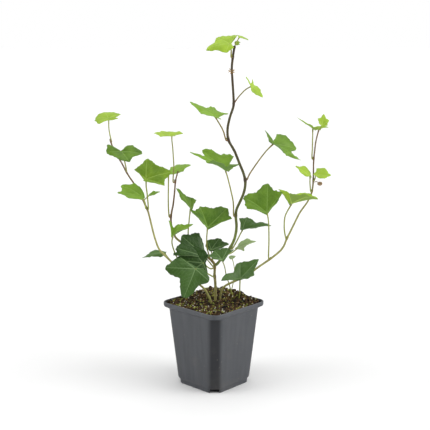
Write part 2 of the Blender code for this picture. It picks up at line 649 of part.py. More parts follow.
def main():
    clear_scene()
    plant = bpy.data.objects.new("plant", None)
    bpy.context.scene.collection.objects.link(plant)
    plant.rotation_euler.z = PLANT_TURN

    build_pot(material("pot_plastic", (0.07, 0.075, 0.085), 0.5))
    soil = build_soil(material("soil", (0.05, 0.03, 0.018), 0.95))

    curves = {}
    for shoot in SHOOTS:
        path = smooth(shoot.path, 2)
        if shoot.clear_of:
            path = keep_clear(path, shoot.radii[0], *curves[shoot.clear_of])
        curves[shoot.name] = (path, shoot.radii)
        bark = material(f"bark_of_{shoot.name}", shoot.colour, 0.6)
        solid(shoot.name, *tube(path, *shoot.radii, STEM_SIDES), bark, plant)
        if shoot.path[0][2] < SOIL_EDGE:
            plant_socket(soil, shoot.name, shoot.path, shoot.radii[0] + SOCKET_ROOM)

    for leaf in LEAVES:
        build_leaf(leaf, curves, material(f"green_of_{leaf.name}", FINISHES[leaf.finish], 0.45), plant)
        if leaf.stalk[0][2] < SOIL_EDGE:
            plant_socket(soil, leaf.name, leaf.stalk, STALK_RADIUS + SOCKET_ROOM)

    build_bud(material("dry_bud", (0.30, 0.22, 0.12), 0.8), plant)


main()
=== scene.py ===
"""Potted ivy: a young ivy with four shoots in a square nursery pot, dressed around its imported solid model.

The pot, the soil, the shoots and the leaves are classes that hold their sizes in millimetres. Each builds
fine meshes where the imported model's nodes stand and dresses them with procedural finishes. The plant's own
axes are turned about Z from the pot's: X runs across the spread of the shoots, Y from the front to the back
and Z up.
"""

import logging
import math
from collections import Counter
from dataclasses import dataclass, field
from enum import Enum

import bpy
from mathutils import Matrix, Vector, noise


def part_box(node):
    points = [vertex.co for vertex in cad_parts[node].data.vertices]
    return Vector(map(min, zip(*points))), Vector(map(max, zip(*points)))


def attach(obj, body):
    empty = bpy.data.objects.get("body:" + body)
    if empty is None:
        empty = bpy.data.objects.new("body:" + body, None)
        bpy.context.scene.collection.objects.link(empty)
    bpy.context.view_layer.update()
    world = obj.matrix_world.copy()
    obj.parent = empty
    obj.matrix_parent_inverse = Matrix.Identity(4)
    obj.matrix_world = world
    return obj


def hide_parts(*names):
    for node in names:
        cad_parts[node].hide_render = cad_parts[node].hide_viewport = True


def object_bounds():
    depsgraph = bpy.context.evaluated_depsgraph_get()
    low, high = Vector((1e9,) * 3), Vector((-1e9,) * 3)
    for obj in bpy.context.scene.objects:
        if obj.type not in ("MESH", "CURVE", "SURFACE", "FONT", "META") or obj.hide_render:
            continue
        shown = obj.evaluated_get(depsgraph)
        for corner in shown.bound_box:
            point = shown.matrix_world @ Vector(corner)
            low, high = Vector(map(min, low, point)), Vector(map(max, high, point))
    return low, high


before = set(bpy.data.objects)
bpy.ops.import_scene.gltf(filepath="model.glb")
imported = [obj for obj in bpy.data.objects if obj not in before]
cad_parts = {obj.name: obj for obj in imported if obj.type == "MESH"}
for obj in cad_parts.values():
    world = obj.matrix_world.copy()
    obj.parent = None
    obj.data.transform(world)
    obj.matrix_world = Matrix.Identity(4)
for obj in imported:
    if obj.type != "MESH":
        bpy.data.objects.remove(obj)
CAD_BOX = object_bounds()

MM = 0.001
CM2_IN_M2 = 1e4
GOLDEN_ANGLE = 2.39996  # radians between neighbours that never line up
BODY = "root"
PLANT_TURN = Matrix.Rotation(math.radians(43.2), 3, "Z")
LOG = logging.getLogger("potted_ivy")


# ---- colours and nodes ----

def linear(code: str) -> tuple:
    """Turn an sRGB hex colour into the linear colour that shaders use.

    Args:
        code: the colour as "#rrggbb".

    Returns:
        Red, green, blue and alpha, linear.
    """
    channels = [int(code[i:i + 2], 16) / 255 for i in (1, 3, 5)]
    return (*[c / 12.92 if c <= 0.04045 else ((c + 0.055) / 1.055) ** 2.4 for c in channels], 1.0)


def add_node(tree: bpy.types.NodeTree, kind: str, inputs: dict | None = None,
             **settings: object) -> bpy.types.Node:
    """Add a node to a tree with its settings, input values and links.

    Args:
        tree: the shader or geometry tree.
        kind: the node's type name.
        inputs: a value, or an output socket to link, for each input by its name or place.
        settings: properties of the node itself.

    Returns:
        The new node.
    """
    node = tree.nodes.new(kind)
    for name, value in settings.items():
        setattr(node, name, value)
    for place, value in (inputs or {}).items():
        if isinstance(value, bpy.types.NodeSocket):
            tree.links.new(value, node.inputs[place])
        else:
            node.inputs[place].default_value = value
    return node


def new_material(name: str) -> tuple:
    """Make an empty node material.

    Args:
        name: the material's name.

    Returns:
        The material and its node tree.
    """
    made = bpy.data.materials.new(name)
    made.use_nodes = True
    made.node_tree.nodes.clear()
    return made, made.node_tree


def finish_surface(tree: bpy.types.NodeTree, colour: bpy.types.NodeSocket,
                   roughness: float | bpy.types.NodeSocket, normal: bpy.types.NodeSocket,
                   **constants: float) -> None:
    """Close a material with a Principled shader.

    Args:
        tree: the material's tree.
        colour: the socket that gives the base colour.
        roughness: a number or a socket.
        normal: the socket that gives the bumped normal.
        constants: values for the shader's own sockets, with spaces in the names written as underscores.
    """
    inputs = {"Base Color": colour, "Roughness": roughness, "Normal": normal}
    inputs |= {name.replace("_", " "): value for name, value in constants.items()}
    shader = add_node(tree, "ShaderNodeBsdfPrincipled", inputs)
    add_node(tree, "ShaderNodeOutputMaterial", {"Surface": shader.outputs[0]})


# ---- finishes ----

class Age(Enum):
    """How old a leaf is, which sets its green."""

    YOUNG = "young"
    MATURE = "mature"
    DARK = "dark"
    PALE = "pale"


@dataclass(frozen=True)
class LeafFinish:
    """A living ivy blade: a waxy cuticle over soft tissue, which gives a satin sheen. Sizes in mm.

    tint runs from the deep green to the light one, and the veins and the underside have colours of their own.
    """

    name: str
    deep: str
    light: str
    vein: str
    underside: str
    vein_strength: float
    roughness: float
    slot: str

    vein_at_stalk = 0.62  # a main vein's half width there
    vein_at_tip = 0.2
    side_vein_drift = 5.0
    net_mesh = 2.0
    patch = 14.0
    tissue_grain = 1.1
    relief = 0.14
    underside_roughness = 0.68

    def material(self) -> bpy.types.Material:
        """Build the blade's material from the attributes of its mesh.

        Returns:
            The material.
        """
        made, tree = new_material(f"ivy_blade_{self.name}")
        rib, reach, under, tint, pleat = [
            add_node(tree, "ShaderNodeAttribute", attribute_name=name).outputs["Fac"]
            for name in ("rib", "reach", "under", "tint", "pleat")
        ]
        place = add_node(tree, "ShaderNodeTexCoord").outputs["Object"]

        # a main vein is about 1.1 mm wide at the stalk and thins to 0.4 mm at the end of its lobe
        width = add_node(tree, "ShaderNodeMapRange",
                         {"Value": reach, 3: self.vein_at_stalk, 4: self.vein_at_tip}).outputs[0]
        across = add_node(tree, "ShaderNodeMath", {0: rib, 1: width}, operation="DIVIDE").outputs[0]
        main = add_node(tree, "ShaderNodeMapRange", {"Value": across, 1: 1.5, 2: 0.35, 3: 0.0, 4: 1.0},
                        interpolation_type="SMOOTHSTEP").outputs[0]
        # side veins leave the main ones every 4 to 5 mm, wander a little and fade before the rim
        drift = add_node(tree, "ShaderNodeTexNoise",
                         {"Vector": place, "Scale": 1 / (self.side_vein_drift * MM), "Detail": 1.0})
        wander = add_node(tree, "ShaderNodeMath", {0: drift.outputs[0], 1: 0.9, 2: pleat},
                          operation="MULTIPLY_ADD").outputs[0]
        beside = add_node(tree, "ShaderNodeMath", {0: wander, 1: 0.5}, operation="PINGPONG").outputs[0]
        side = add_node(tree, "ShaderNodeMapRange", {"Value": beside, 1: 0.09, 2: 0.02, 3: 0.0, 4: 1.0},
                        interpolation_type="SMOOTHSTEP").outputs[0]
        fade = add_node(tree, "ShaderNodeMapRange", {"Value": reach, 1: 0.97, 2: 0.7}).outputs[0]
        side = add_node(tree, "ShaderNodeMath", {0: side, 1: fade}, operation="MULTIPLY").outputs[0]
        # the net of small veins joins the side veins
        cells = add_node(tree, "ShaderNodeTexVoronoi", {"Vector": place, "Scale": 1 / (self.net_mesh * MM)},
                         feature="DISTANCE_TO_EDGE").outputs["Distance"]
        net = add_node(tree, "ShaderNodeMapRange",
                       {"Value": cells, 1: 0.16, 2: 0.02, 3: 0.0, 4: 1.0}).outputs[0]

        patches = add_node(tree, "ShaderNodeTexNoise",
                           {"Vector": place, "Scale": 1 / (self.patch * MM), "Detail": 3.0})
        fine = add_node(tree, "ShaderNodeTexNoise",
                        {"Vector": place, "Scale": 1 / (self.tissue_grain * MM), "Detail": 2.0})
        share = add_node(tree, "ShaderNodeMapRange",
                         {"Value": patches.outputs[0], 1: 0.3, 2: 0.7, 3: -0.22, 4: 0.22}).outputs[0]
        share = add_node(tree, "ShaderNodeMath", {0: share, 1: tint},
                         operation="ADD", use_clamp=True).outputs[0]
        colour = add_node(tree, "ShaderNodeMix", {0: share, 6: linear(self.deep), 7: linear(self.light)},
                          data_type="RGBA").outputs[2]
        for mask, strength in ((net, 0.14), (side, 0.3), (main, 1.0)):
            amount = add_node(tree, "ShaderNodeMath", {0: mask, 1: strength * self.vein_strength},
                              operation="MULTIPLY").outputs[0]
            colour = add_node(tree, "ShaderNodeMix", {0: amount, 6: colour, 7: linear(self.vein)},
                              data_type="RGBA").outputs[2]
        below = add_node(tree, "ShaderNodeMix", {0: main, 6: linear(self.underside), 7: linear(self.vein)},
                         data_type="RGBA").outputs[2]
        colour = add_node(tree, "ShaderNodeMix", {0: under, 6: colour, 7: below}, data_type="RGBA").outputs[2]

        gloss = add_node(tree, "ShaderNodeMapRange", {"Value": fine.outputs[0], 3: self.roughness - 0.05,
                                                      4: self.roughness + 0.1}).outputs[0]
        gloss = add_node(tree, "ShaderNodeMix",
                         {0: under, 2: gloss, 3: self.underside_roughness}).outputs[0]
        relief = fine.outputs[0]
        for mask, depth in ((net, -0.35), (side, -0.9), (main, -1.6)):
            relief = add_node(tree, "ShaderNodeMath", {0: mask, 1: depth, 2: relief},
                              operation="MULTIPLY_ADD").outputs[0]
        bump = add_node(tree, "ShaderNodeBump",
                        {"Height": relief, "Strength": 0.55, "Distance": self.relief * MM})
        finish_surface(tree, colour, gloss, bump.outputs[0], IOR=1.43, Specular_IOR_Level=0.3,
                       Coat_Weight=0.03, Coat_Roughness=0.3)
        return made


LEAF_FINISHES = {
    Age.YOUNG: LeafFinish("young", "#628419", "#a2c236", "#b3cc62", "#83a043", 0.4, 0.45, "leaf_young"),
    Age.MATURE: LeafFinish("mature", "#436612", "#80a731", "#8fb055", "#6f9048", 0.45, 0.42, "leaf_mature"),
    Age.DARK: LeafFinish("dark", "#254211", "#4a6b2f", "#7f9c66", "#587847", 0.55, 0.36, "leaf_dark"),
    Age.PALE: LeafFinish("pale", "#738d57", "#a5ba82", "#b8c89c", "#87a070", 0.5, 0.45, "leaf_pale"),
}


@dataclass(frozen=True)
class BarkFinish:
    """A young ivy stem: thin green skin that turns to brown cork, matt with a faint sheen. Sizes in mm."""

    name: str
    green: str
    brown: str
    roughness: float = 0.52

    streak = 0.7  # width of the streaks that run up the stem
    streak_squeeze = 0.12  # width over length
    speck = 2.5
    relief = 0.12

    def material(self) -> bpy.types.Material:
        """Build the stem's material, browner where the mesh's brown attribute is high.

        Returns:
            The material.
        """
        made, tree = new_material(f"ivy_stem_{self.name}")
        brown = add_node(tree, "ShaderNodeAttribute", attribute_name="brown").outputs["Fac"]
        place = add_node(tree, "ShaderNodeTexCoord").outputs["Object"]
        long = add_node(tree, "ShaderNodeMapping",
                        {"Vector": place, "Scale": (1.0, 1.0, self.streak_squeeze)}).outputs[0]
        streaks = add_node(tree, "ShaderNodeTexNoise",
                           {"Vector": long, "Scale": 1 / (self.streak * MM), "Detail": 3.0})
        specks = add_node(tree, "ShaderNodeTexNoise",
                          {"Vector": place, "Scale": 1 / (self.speck * MM), "Detail": 2.0})
        share = add_node(tree, "ShaderNodeMath", {0: streaks.outputs[0], 1: 0.7, 2: -0.35},
                         operation="MULTIPLY_ADD").outputs[0]
        share = add_node(tree, "ShaderNodeMath", {0: share, 1: brown},
                         operation="ADD", use_clamp=True).outputs[0]
        colour = add_node(tree, "ShaderNodeMix", {0: share, 6: linear(self.green), 7: linear(self.brown)},
                          data_type="RGBA").outputs[2]
        dark = add_node(tree, "ShaderNodeMapRange",
                        {"Value": specks.outputs[0], 1: 0.35, 2: 0.7, 3: 0.78, 4: 1.12}).outputs[0]
        tone = add_node(tree, "ShaderNodeCombineColor", {0: dark, 1: dark, 2: dark}).outputs[0]
        colour = add_node(tree, "ShaderNodeMix", {0: 1.0, 6: colour, 7: tone}, data_type="RGBA",
                          blend_type="MULTIPLY").outputs[2]
        bump = add_node(tree, "ShaderNodeBump",
                        {"Height": streaks.outputs[0], "Strength": 0.5, "Distance": self.relief * MM})
        finish_surface(tree, colour, self.roughness, bump.outputs[0], IOR=1.45)
        return made


@dataclass(frozen=True)
class PlasticFinish:
    """Injection-moulded grey polypropylene: matt from a fine spark-eroded mould, with a soft broad sheen.

    Handling hazes the flat sides and rubs the edges, and the cut corners carry painted shade, darker than the
    sides. Sizes in mm.
    """

    body: str = "#434549"
    rubbed: str = "#6a6d71"
    # painted shade for the cut corners, which stand darker than the sides
    painted_facet_shade: str = "#232428"
    dust: str = "#7a766c"
    roughness: float = 0.46

    grain = 0.35  # 0.05 mm on a real pot, and drawn coarser so that it shows
    flow_line = 5.0
    flow_squeeze = 0.07  # width over length
    haze = 24.0
    dust_spacing = 9.0
    relief = 0.06

    def material(self) -> bpy.types.Material:
        """Build the pot's material, paler where the mesh's edge attribute is high and darker with painted
        shade where its facet attribute is high.

        Returns:
            The material.
        """
        made, tree = new_material("moulded_polypropylene")
        edge = add_node(tree, "ShaderNodeAttribute", attribute_name="edge").outputs["Fac"]
        facet = add_node(tree, "ShaderNodeAttribute", attribute_name="facet").outputs["Fac"]
        place = add_node(tree, "ShaderNodeTexCoord").outputs["Object"]
        grain = add_node(tree, "ShaderNodeTexNoise",
                         {"Vector": place, "Scale": 1 / (self.grain * MM), "Detail": 2.0})
        drawn = add_node(tree, "ShaderNodeMapping",
                         {"Vector": place, "Scale": (1.0, 1.0, self.flow_squeeze)}).outputs[0]
        flow = add_node(tree, "ShaderNodeTexNoise",
                        {"Vector": drawn, "Scale": 1 / (self.flow_line * MM), "Detail": 3.0})
        clouds = add_node(tree, "ShaderNodeTexNoise",
                          {"Vector": place, "Scale": 1 / (self.haze * MM), "Detail": 4.0})
        cells = add_node(tree, "ShaderNodeTexVoronoi",
                         {"Vector": place, "Scale": 1 / (self.dust_spacing * MM)},
                         feature="F1").outputs["Distance"]
        specks = add_node(tree, "ShaderNodeMapRange",
                          {"Value": cells, 1: 0.075, 2: 0.045, 3: 0.0, 4: 0.55}).outputs[0]
        worn = add_node(tree, "ShaderNodeMapRange",
                        {"Value": flow.outputs[0], 1: 0.35, 2: 0.75, 3: 0.0, 4: 0.16}).outputs[0]
        worn = add_node(tree, "ShaderNodeMath", {0: edge, 1: 0.3, 2: worn},
                        operation="MULTIPLY_ADD").outputs[0]
        colour = add_node(tree, "ShaderNodeMix", {0: worn, 6: linear(self.body), 7: linear(self.rubbed)},
                          data_type="RGBA").outputs[2]
        # painted shade: the cut corners take a darker colour where the facet attribute is high
        colour = add_node(tree, "ShaderNodeMix", {0: facet, 6: colour, 7: linear(self.painted_facet_shade)},
                          data_type="RGBA").outputs[2]
        # potting dust clings in soft patches and in single grains
        film = add_node(tree, "ShaderNodeMapRange",
                        {"Value": clouds.outputs[0], 1: 0.52, 2: 0.8, 3: 0.0, 4: 0.14}).outputs[0]
        film = add_node(tree, "ShaderNodeMath", {0: film, 1: specks}, operation="MAXIMUM").outputs[0]
        colour = add_node(tree, "ShaderNodeMix", {0: film, 6: colour, 7: linear(self.dust)},
                          data_type="RGBA").outputs[2]
        gloss = add_node(tree, "ShaderNodeMapRange", {"Value": clouds.outputs[0], 1: 0.3, 2: 0.7,
                                                      3: self.roughness - 0.04, 4: self.roughness + 0.08})
        bump = add_node(tree, "ShaderNodeBump",
                        {"Height": grain.outputs[0], "Strength": 0.25, "Distance": self.relief * MM})
        finish_surface(tree, colour, gloss.outputs[0], bump.outputs[0], IOR=1.49, Specular_IOR_Level=0.3)
        return made


@dataclass(frozen=True)
class EarthFinish:
    """Peat, bark, perlite or moss: dry crumbs that scatter light, each with a tone of its own."""

    name: str
    dark: str
    light: str
    grain_mm: float = 0.8
    roughness: float = 0.95

    relief = 0.4

    def material(self) -> bpy.types.Material:
        """Build the crumbs' material, with the mesh's tone attribute shifting each crumb.

        Returns:
            The material.
        """
        made, tree = new_material(f"earth_{self.name}")
        tone = add_node(tree, "ShaderNodeAttribute", attribute_name="tone").outputs["Fac"]
        place = add_node(tree, "ShaderNodeTexCoord").outputs["Object"]
        grain = add_node(tree, "ShaderNodeTexNoise",
                         {"Vector": place, "Scale": 1 / (self.grain_mm * MM), "Detail": 4.0})
        share = add_node(tree, "ShaderNodeMapRange",
                         {"Value": grain.outputs[0], 1: 0.35, 2: 0.7, 3: -0.3, 4: 0.3}).outputs[0]
        share = add_node(tree, "ShaderNodeMath", {0: share, 1: tone},
                         operation="ADD", use_clamp=True).outputs[0]
        colour = add_node(tree, "ShaderNodeMix", {0: share, 6: linear(self.dark), 7: linear(self.light)},
                          data_type="RGBA").outputs[2]
        bump = add_node(tree, "ShaderNodeBump",
                        {"Height": grain.outputs[0], "Strength": 0.8, "Distance": self.relief * MM})
        finish_surface(tree, colour, self.roughness, bump.outputs[0], Specular_IOR_Level=0.25)
        return made


# ---- meshes ----

def piece_from(name: str, points: list, faces: list, materials: list, attributes: dict | None = None,
               face_material: list | None = None, crease: float = 40.0) -> bpy.types.Object:
    """Make a smooth-shaded mesh object at the origin.

    Args:
        name: the piece's name.
        points: corners in millimetres, in the row frame.
        faces: corner numbers of each face, anticlockwise from outside.
        materials: the materials of the mesh's slots.
        attributes: a list of one number per point for each attribute's name.
        face_material: the slot of each face, or None for the first.
        crease: faces that meet at more than this many degrees keep a sharp edge.

    Returns:
        The linked object.
    """
    mesh = bpy.data.meshes.new(name)
    mesh.from_pydata([Vector(p) * MM for p in points], [], faces)
    for surface in materials:
        mesh.materials.append(surface)
    for label, values in (attributes or {}).items():
        layer = mesh.attributes.new(label, "FLOAT", "POINT")
        layer.data.foreach_set("value", values)
    if face_material:
        mesh.polygons.foreach_set("material_index", face_material)
    mesh.shade_smooth()
    mesh.set_sharp_from_angle(angle=math.radians(crease))
    mesh.validate()
    mesh.update()
    made = bpy.data.objects.new(name, mesh)
    bpy.context.scene.collection.objects.link(made)
    return made


def settle(piece: bpy.types.Object, slot: str, *nodes: str) -> bpy.types.Object:
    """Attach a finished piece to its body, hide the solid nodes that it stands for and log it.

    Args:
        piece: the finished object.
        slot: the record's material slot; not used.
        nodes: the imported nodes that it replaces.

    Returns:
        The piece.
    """
    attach(piece, BODY)
    if nodes:
        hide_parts(*nodes)
    stands_for = ", ".join(nodes) or "no node"
    LOG.info("%s: %d faces, stands for %s", piece.name, len(piece.data.polygons), stands_for)
    return piece


def grow(tree: bpy.types.NodeTree, carrier: bpy.types.Object, name: str, settings: dict) -> bpy.types.Object:
    """Run a Geometry Nodes tree on a carrier and keep what it makes as a plain mesh.

    Args:
        tree: the tree, whose inputs are set by their names in settings.
        carrier: the object that the tree starts from; its own mesh stays as it is.
        name: the new piece's name.
        settings: a value for each named input.

    Returns:
        The new object, with no modifier.
    """
    modifier = carrier.modifiers.new(name, "NODES")
    modifier.node_group = tree
    for item in tree.interface.items_tree:
        if item.item_type == "SOCKET" and item.in_out == "INPUT" and item.name in settings:
            modifier[item.identifier] = settings[item.name]
    graph = bpy.context.evaluated_depsgraph_get()
    mesh = bpy.data.meshes.new_from_object(
        carrier.evaluated_get(graph), preserve_all_data_layers=True, depsgraph=graph)
    carrier.modifiers.remove(modifier)
    mesh.name = name
    made = bpy.data.objects.new(name, mesh)
    bpy.context.scene.collection.objects.link(made)
    return made


def named_tree(name: str, sockets: dict) -> tuple:
    """Make a Geometry Nodes tree with a geometry input and output and the named inputs.

    Args:
        name: the tree's name.
        sockets: the socket type of each named input, after the geometry.

    Returns:
        The tree, the outputs of its input node by name, and its output node.
    """
    tree = bpy.data.node_groups.new(name, "GeometryNodeTree")
    tree.interface.new_socket(name="Geometry", in_out="INPUT", socket_type="NodeSocketGeometry")
    for label, kind in sockets.items():
        tree.interface.new_socket(name=label, in_out="INPUT", socket_type=f"NodeSocket{kind}")
    tree.interface.new_socket(name="Geometry", in_out="OUTPUT", socket_type="NodeSocketGeometry")
    start = tree.nodes.new("NodeGroupInput")
    return tree, start.outputs, tree.nodes.new("NodeGroupOutput")


# ---- curves ----

def smooth_curve(points: list, steps: int) -> list:
    """A Catmull-Rom curve through points, with steps pieces between two of them.

    Args:
        points: the points that the curve passes through.
        steps: how many pieces each stretch gets.

    Returns:
        The curve's points, the given ones among them.
    """
    ends = [points[0] * 2 - points[1], *points, points[-1] * 2 - points[-2]]
    curve = []
    for a, b, c, d in zip(ends, ends[1:], ends[2:], ends[3:]):
        for k in range(steps):
            t = k / steps
            curve.append(0.5 * (2 * b + (c - a) * t + (2 * a - 5 * b + 4 * c - d) * t ** 2
                                + (3 * b - a - 3 * c + d) * t ** 3))
    curve.append(points[-1].copy())
    return curve


def within_box(point: Vector) -> Vector:
    """The point, held inside the solid model's box."""
    low, high = CAD_BOX
    return Vector([min(max(c, a / MM), b / MM) for c, a, b in zip(point, low, high)])


def nearest_place(point: Vector, curve: list) -> tuple:
    """Where a curve passes nearest to a point.

    Args:
        point: the point.
        curve: the curve's points.

    Returns:
        The nearest point of the curve, and the number of the curve's point before it.
    """
    found = []
    for k, (a, b) in enumerate(zip(curve, curve[1:])):
        along = b - a
        share = min(max((point - a).dot(along) / along.length_squared, 0.0), 1.0)
        spot = a + along * share
        found.append(((spot - point).length, k, spot))
    _, k, spot = min(found, key=lambda f: f[0])
    return spot, k


def ring_faces(rings: int, count: int) -> list:
    """Faces that join rings of points, one ring after the other.

    Args:
        rings: the number of rings.
        count: the points in each ring, anticlockwise when the rings rise toward the viewer.

    Returns:
        The faces, ring by ring.
    """
    faces = []
    for level in range(rings - 1):
        a = level * count
        b = a + count
        for i in range(count):
            j = (i + 1) % count
            faces.append((a + i, a + j, b + j, b + i))
    return faces


def appended(faces: list, more: list, start: int) -> list:
    """Faces with more after them, whose corner numbers are moved on by start."""
    return faces + [tuple(corner + start for corner in face) for face in more]


def tube(curve: list, radii: list, sides: int) -> tuple:
    """Points and faces of a closed round tube.

    Args:
        curve: the middle line.
        radii: the radius at each of its points.
        sides: the number of sides.

    Returns:
        The points, ring by ring with the two end points last, and the faces.
    """
    last = len(curve) - 1
    across = Vector((0.3, 1.0, 0.2))
    points = []
    for k, (spot, radius) in enumerate(zip(curve, radii)):
        ahead = (curve[min(k + 1, last)] - curve[max(k - 1, 0)]).normalized()
        across = (across - ahead * across.dot(ahead)).normalized()
        other = ahead.cross(across)
        for i in range(sides):
            angle = 2 * math.pi * i / sides
            points.append(spot + radius * (across * math.cos(angle) + other * math.sin(angle)))
    faces = ring_faces(len(curve), sides)
    first_end = len(points)
    last_end = first_end + 1
    points += [curve[0] - (curve[1] - curve[0]).normalized() * radii[0] * 0.4,
               curve[-1] + (curve[-1] - curve[-2]).normalized() * radii[-1] * 0.6]
    top = last * sides
    for i in range(sides):
        j = (i + 1) % sides
        faces.append((j, i, first_end))
        faces.append((top + i, top + j, last_end))
    return points, faces


# ---- pot ----

@dataclass
class NurseryPot:
    """A thin-walled square pot: tapered walls with cut corners, a flared rim and a stepped foot.

    Sizes in mm. A half is half a width across the flats.
    """

    chamfer: float = 10.0  # leg of the flat facet that cuts each corner of the wall
    edge_round: float = 3.2
    rim_corner: float = 10.0
    rim_depth: float = 6.0
    rim_lip: float = 1.4
    wall: float = 1.3
    floor: float = 1.6
    foot_height: float = 5.5
    wall_foot_half: float = 35.0
    wall_top_half: float = 42.4
    foot_half: float = 33.4
    corner_steps: int = 6  # points on each softened edge of a corner
    notch_width: float = 11.0
    notch_height: float = 4.3
    notch_inward: float = 8.0  # from the facet
    notch_outward: float = 3.0
    hole_radius: float = 4.0
    hole_place: float = 17.0
    hole_sides: int = 32
    facet_shade: float = 0.92  # how far a cut corner's middle goes to the painted shade colour
    wall_heights: tuple = (9.0, 24.0, 38.0, 52.0, 66.0, 80.0)
    flats: tuple = (0.06, 0.3, 0.5, 0.7, 0.94)  # extra points along each side, as shares of it
    finish: PlasticFinish = field(default_factory=PlasticFinish)

    def __post_init__(self) -> None:
        """Read the pot's overall size from the frame."""
        _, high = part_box("pot")
        self.height = high.z / MM
        self.rim_half = high.x / MM

    def cut_corner(self, half: float) -> list:
        """A facet with softened edges, in the quarter where x and y are positive.

        Args:
            half: half the width of the ring that it belongs to.

        Returns:
            Its points, anticlockwise.
        """
        edge = Vector((half, half - self.chamfer))
        before = edge - Vector((0, self.edge_round))
        after = edge + self.edge_round * Vector((-1, 1)).normalized()
        first = []
        for k in range(self.corner_steps):
            t = k / (self.corner_steps - 1)
            first.append((1 - t) ** 2 * before + 2 * t * (1 - t) * edge + t * t * after)
        return first + [Vector((p.y, p.x)) for p in reversed(first)]

    def round_corner(self, half: float) -> list:
        """The rim's round corner, in the quarter where x and y are positive.

        Args:
            half: half the width of the ring that it belongs to.

        Returns:
            Its points, anticlockwise.
        """
        middle = half - self.rim_corner
        count = 2 * self.corner_steps
        turns = [math.pi / 2 * k / (count - 1) for k in range(count)]
        return [Vector((middle + self.rim_corner * math.cos(a), middle + self.rim_corner * math.sin(a)))
                for a in turns]

    def ring(self, corner: list, z: float) -> list:
        """A whole ring of the pot.

        Args:
            corner: the points of its first corner.
            z: its height.

        Returns:
            The points of the four corners and of the flats between them.
        """
        points = []
        for quarter in range(4):
            turn = Matrix.Rotation(quarter * math.pi / 2, 2)
            points += [(*(turn @ p), z) for p in corner]
            start = turn @ corner[-1]
            end = Matrix.Rotation((quarter + 1) * math.pi / 2, 2) @ corner[0]
            points += [(*start.lerp(end, share), z) for share in self.flats]
        return points

    def wall_half(self, z: float) -> float:
        """The wall's taper, between the foot and the rim.

        Args:
            z: a height.

        Returns:
            Half the outside width there.
        """
        share = (z - self.foot_height) / (self.height - self.rim_depth - self.foot_height)
        return self.wall_foot_half + (self.wall_top_half - self.wall_foot_half) * share

    def profile(self) -> list:
        """The section from the underside up the outside, over the rim and down the inside.

        Returns:
            For each ring: its corner points, its height and how rubbed it is.
        """
        cut = self.cut_corner
        bend = self.round_corner
        foot, wall = self.foot_half, self.wall_foot_half
        step, lip = self.foot_height, self.rim_lip
        rim = self.height - self.rim_depth
        under = rim - 1.5
        neck = self.wall_half(under)
        # the foot, rounded at the bottom, and the step out to the wall
        rows = [(cut(foot + out), z, rub) for out, z, rub in (
            (-1.1, 0.0, 0.3), (-0.5, 0.1, 0.6), (-0.1, 0.5, 0.6), (0.0, 1.2, 0.1), (0.1, step - 1.6, 0.0),
            (0.25, step - 0.7, 0.0), (0.7, step + 0.2, 0.0))]
        rows += [(cut(wall - 0.25), step + 1.1, 0.3), (cut(wall), step + 1.9, 0.4)]
        rows += [(cut(self.wall_half(z)), z, 0.0) for z in self.wall_heights]
        rows += [(cut(neck), under, 0.0), (cut(neck + 0.5), under + 0.7, 0.0)]
        # the rim: out from the wall, up, over the lip and down inside it
        rows += [(bend(self.rim_half - inset), rim + rise, rub) for inset, rise, rub in (
            (1.6, 0.1, 0.0), (0.8, 0.5, 0.2), (0.25, 1.1, 0.5), (0.0, 1.9, 0.3))]
        rows += [(bend(self.rim_half - inset), self.height - drop, rub) for inset, drop, rub in (
            (0.0, 0.8, 0.3), (0.12, 0.3, 0.8), (0.4, 0.0, 1.0), (lip - 0.35, 0.0, 1.0),
            (lip - 0.08, 0.25, 0.8), (lip, 0.8, 0.2), (lip + 0.2, self.rim_depth - 2.4, 0.0),
            (lip + 0.9, self.rim_depth - 1.2, 0.0))]
        # down the inside of the wall to the floor
        rows += [(cut(half - self.wall), z, 0.0) for half, z in (
            (neck, under - 0.6), (wall, step + 2.4), (foot, step), (foot - 0.4, self.floor + 1.0),
            (foot - 1.2, self.floor))]
        return rows

    def cutter(self, name: str, points: list, faces: list) -> bpy.types.Object:
        """A helper mesh for a cut, which is taken away after it.

        Args:
            name: its name.
            points: its corners.
            faces: its faces.

        Returns:
            The helper, hidden.
        """
        helper = piece_from(name, points, faces, [])
        helper.hide_render = True
        return helper

    def cut_openings(self, pot: bpy.types.Object) -> None:
        """Cut the low notch through the foot at each corner and the four drain holes.

        Args:
            pot: the closed pot.
        """
        helpers = []
        facet = self.foot_half * math.sqrt(2) - self.chamfer / math.sqrt(2)
        inner, outer, side = facet - self.notch_inward, facet + self.notch_outward, self.notch_width / 2
        plan = [(inner, -side), (outer, -side), (outer, side), (inner, side)]
        box = [(0, 3, 2, 1), (4, 5, 6, 7), *ring_faces(2, 4)]
        for quarter in range(4):
            turn = Matrix.Rotation(math.pi / 4 + quarter * math.pi / 2, 3, "Z")
            corners = [turn @ Vector((x, y, z)) for z in (-1.0, self.notch_height) for x, y in plan]
            helpers.append(self.cutter(f"notch_{quarter}", corners, box))
            middle = turn @ Vector((self.hole_place * math.sqrt(2), 0, 0))
            run = [middle - Vector((0, 0, 1)), middle + Vector((0, 0, self.floor + 1))]
            bore = tube(run, [self.hole_radius] * 2, self.hole_sides)
            helpers.append(self.cutter(f"drain_{quarter}", *bore))
        for helper in helpers:
            boolean = pot.modifiers.new(helper.name, "BOOLEAN")
            boolean.operation = "DIFFERENCE"
            boolean.solver = "EXACT"
            boolean.object = helper
        graph = bpy.context.evaluated_depsgraph_get()
        cut = bpy.data.meshes.new_from_object(pot.evaluated_get(graph), depsgraph=graph)
        pot.modifiers.clear()
        pot.data = cut
        cut.set_sharp_from_angle(angle=math.radians(35))
        for helper in helpers:
            bpy.data.objects.remove(helper, do_unlink=True)

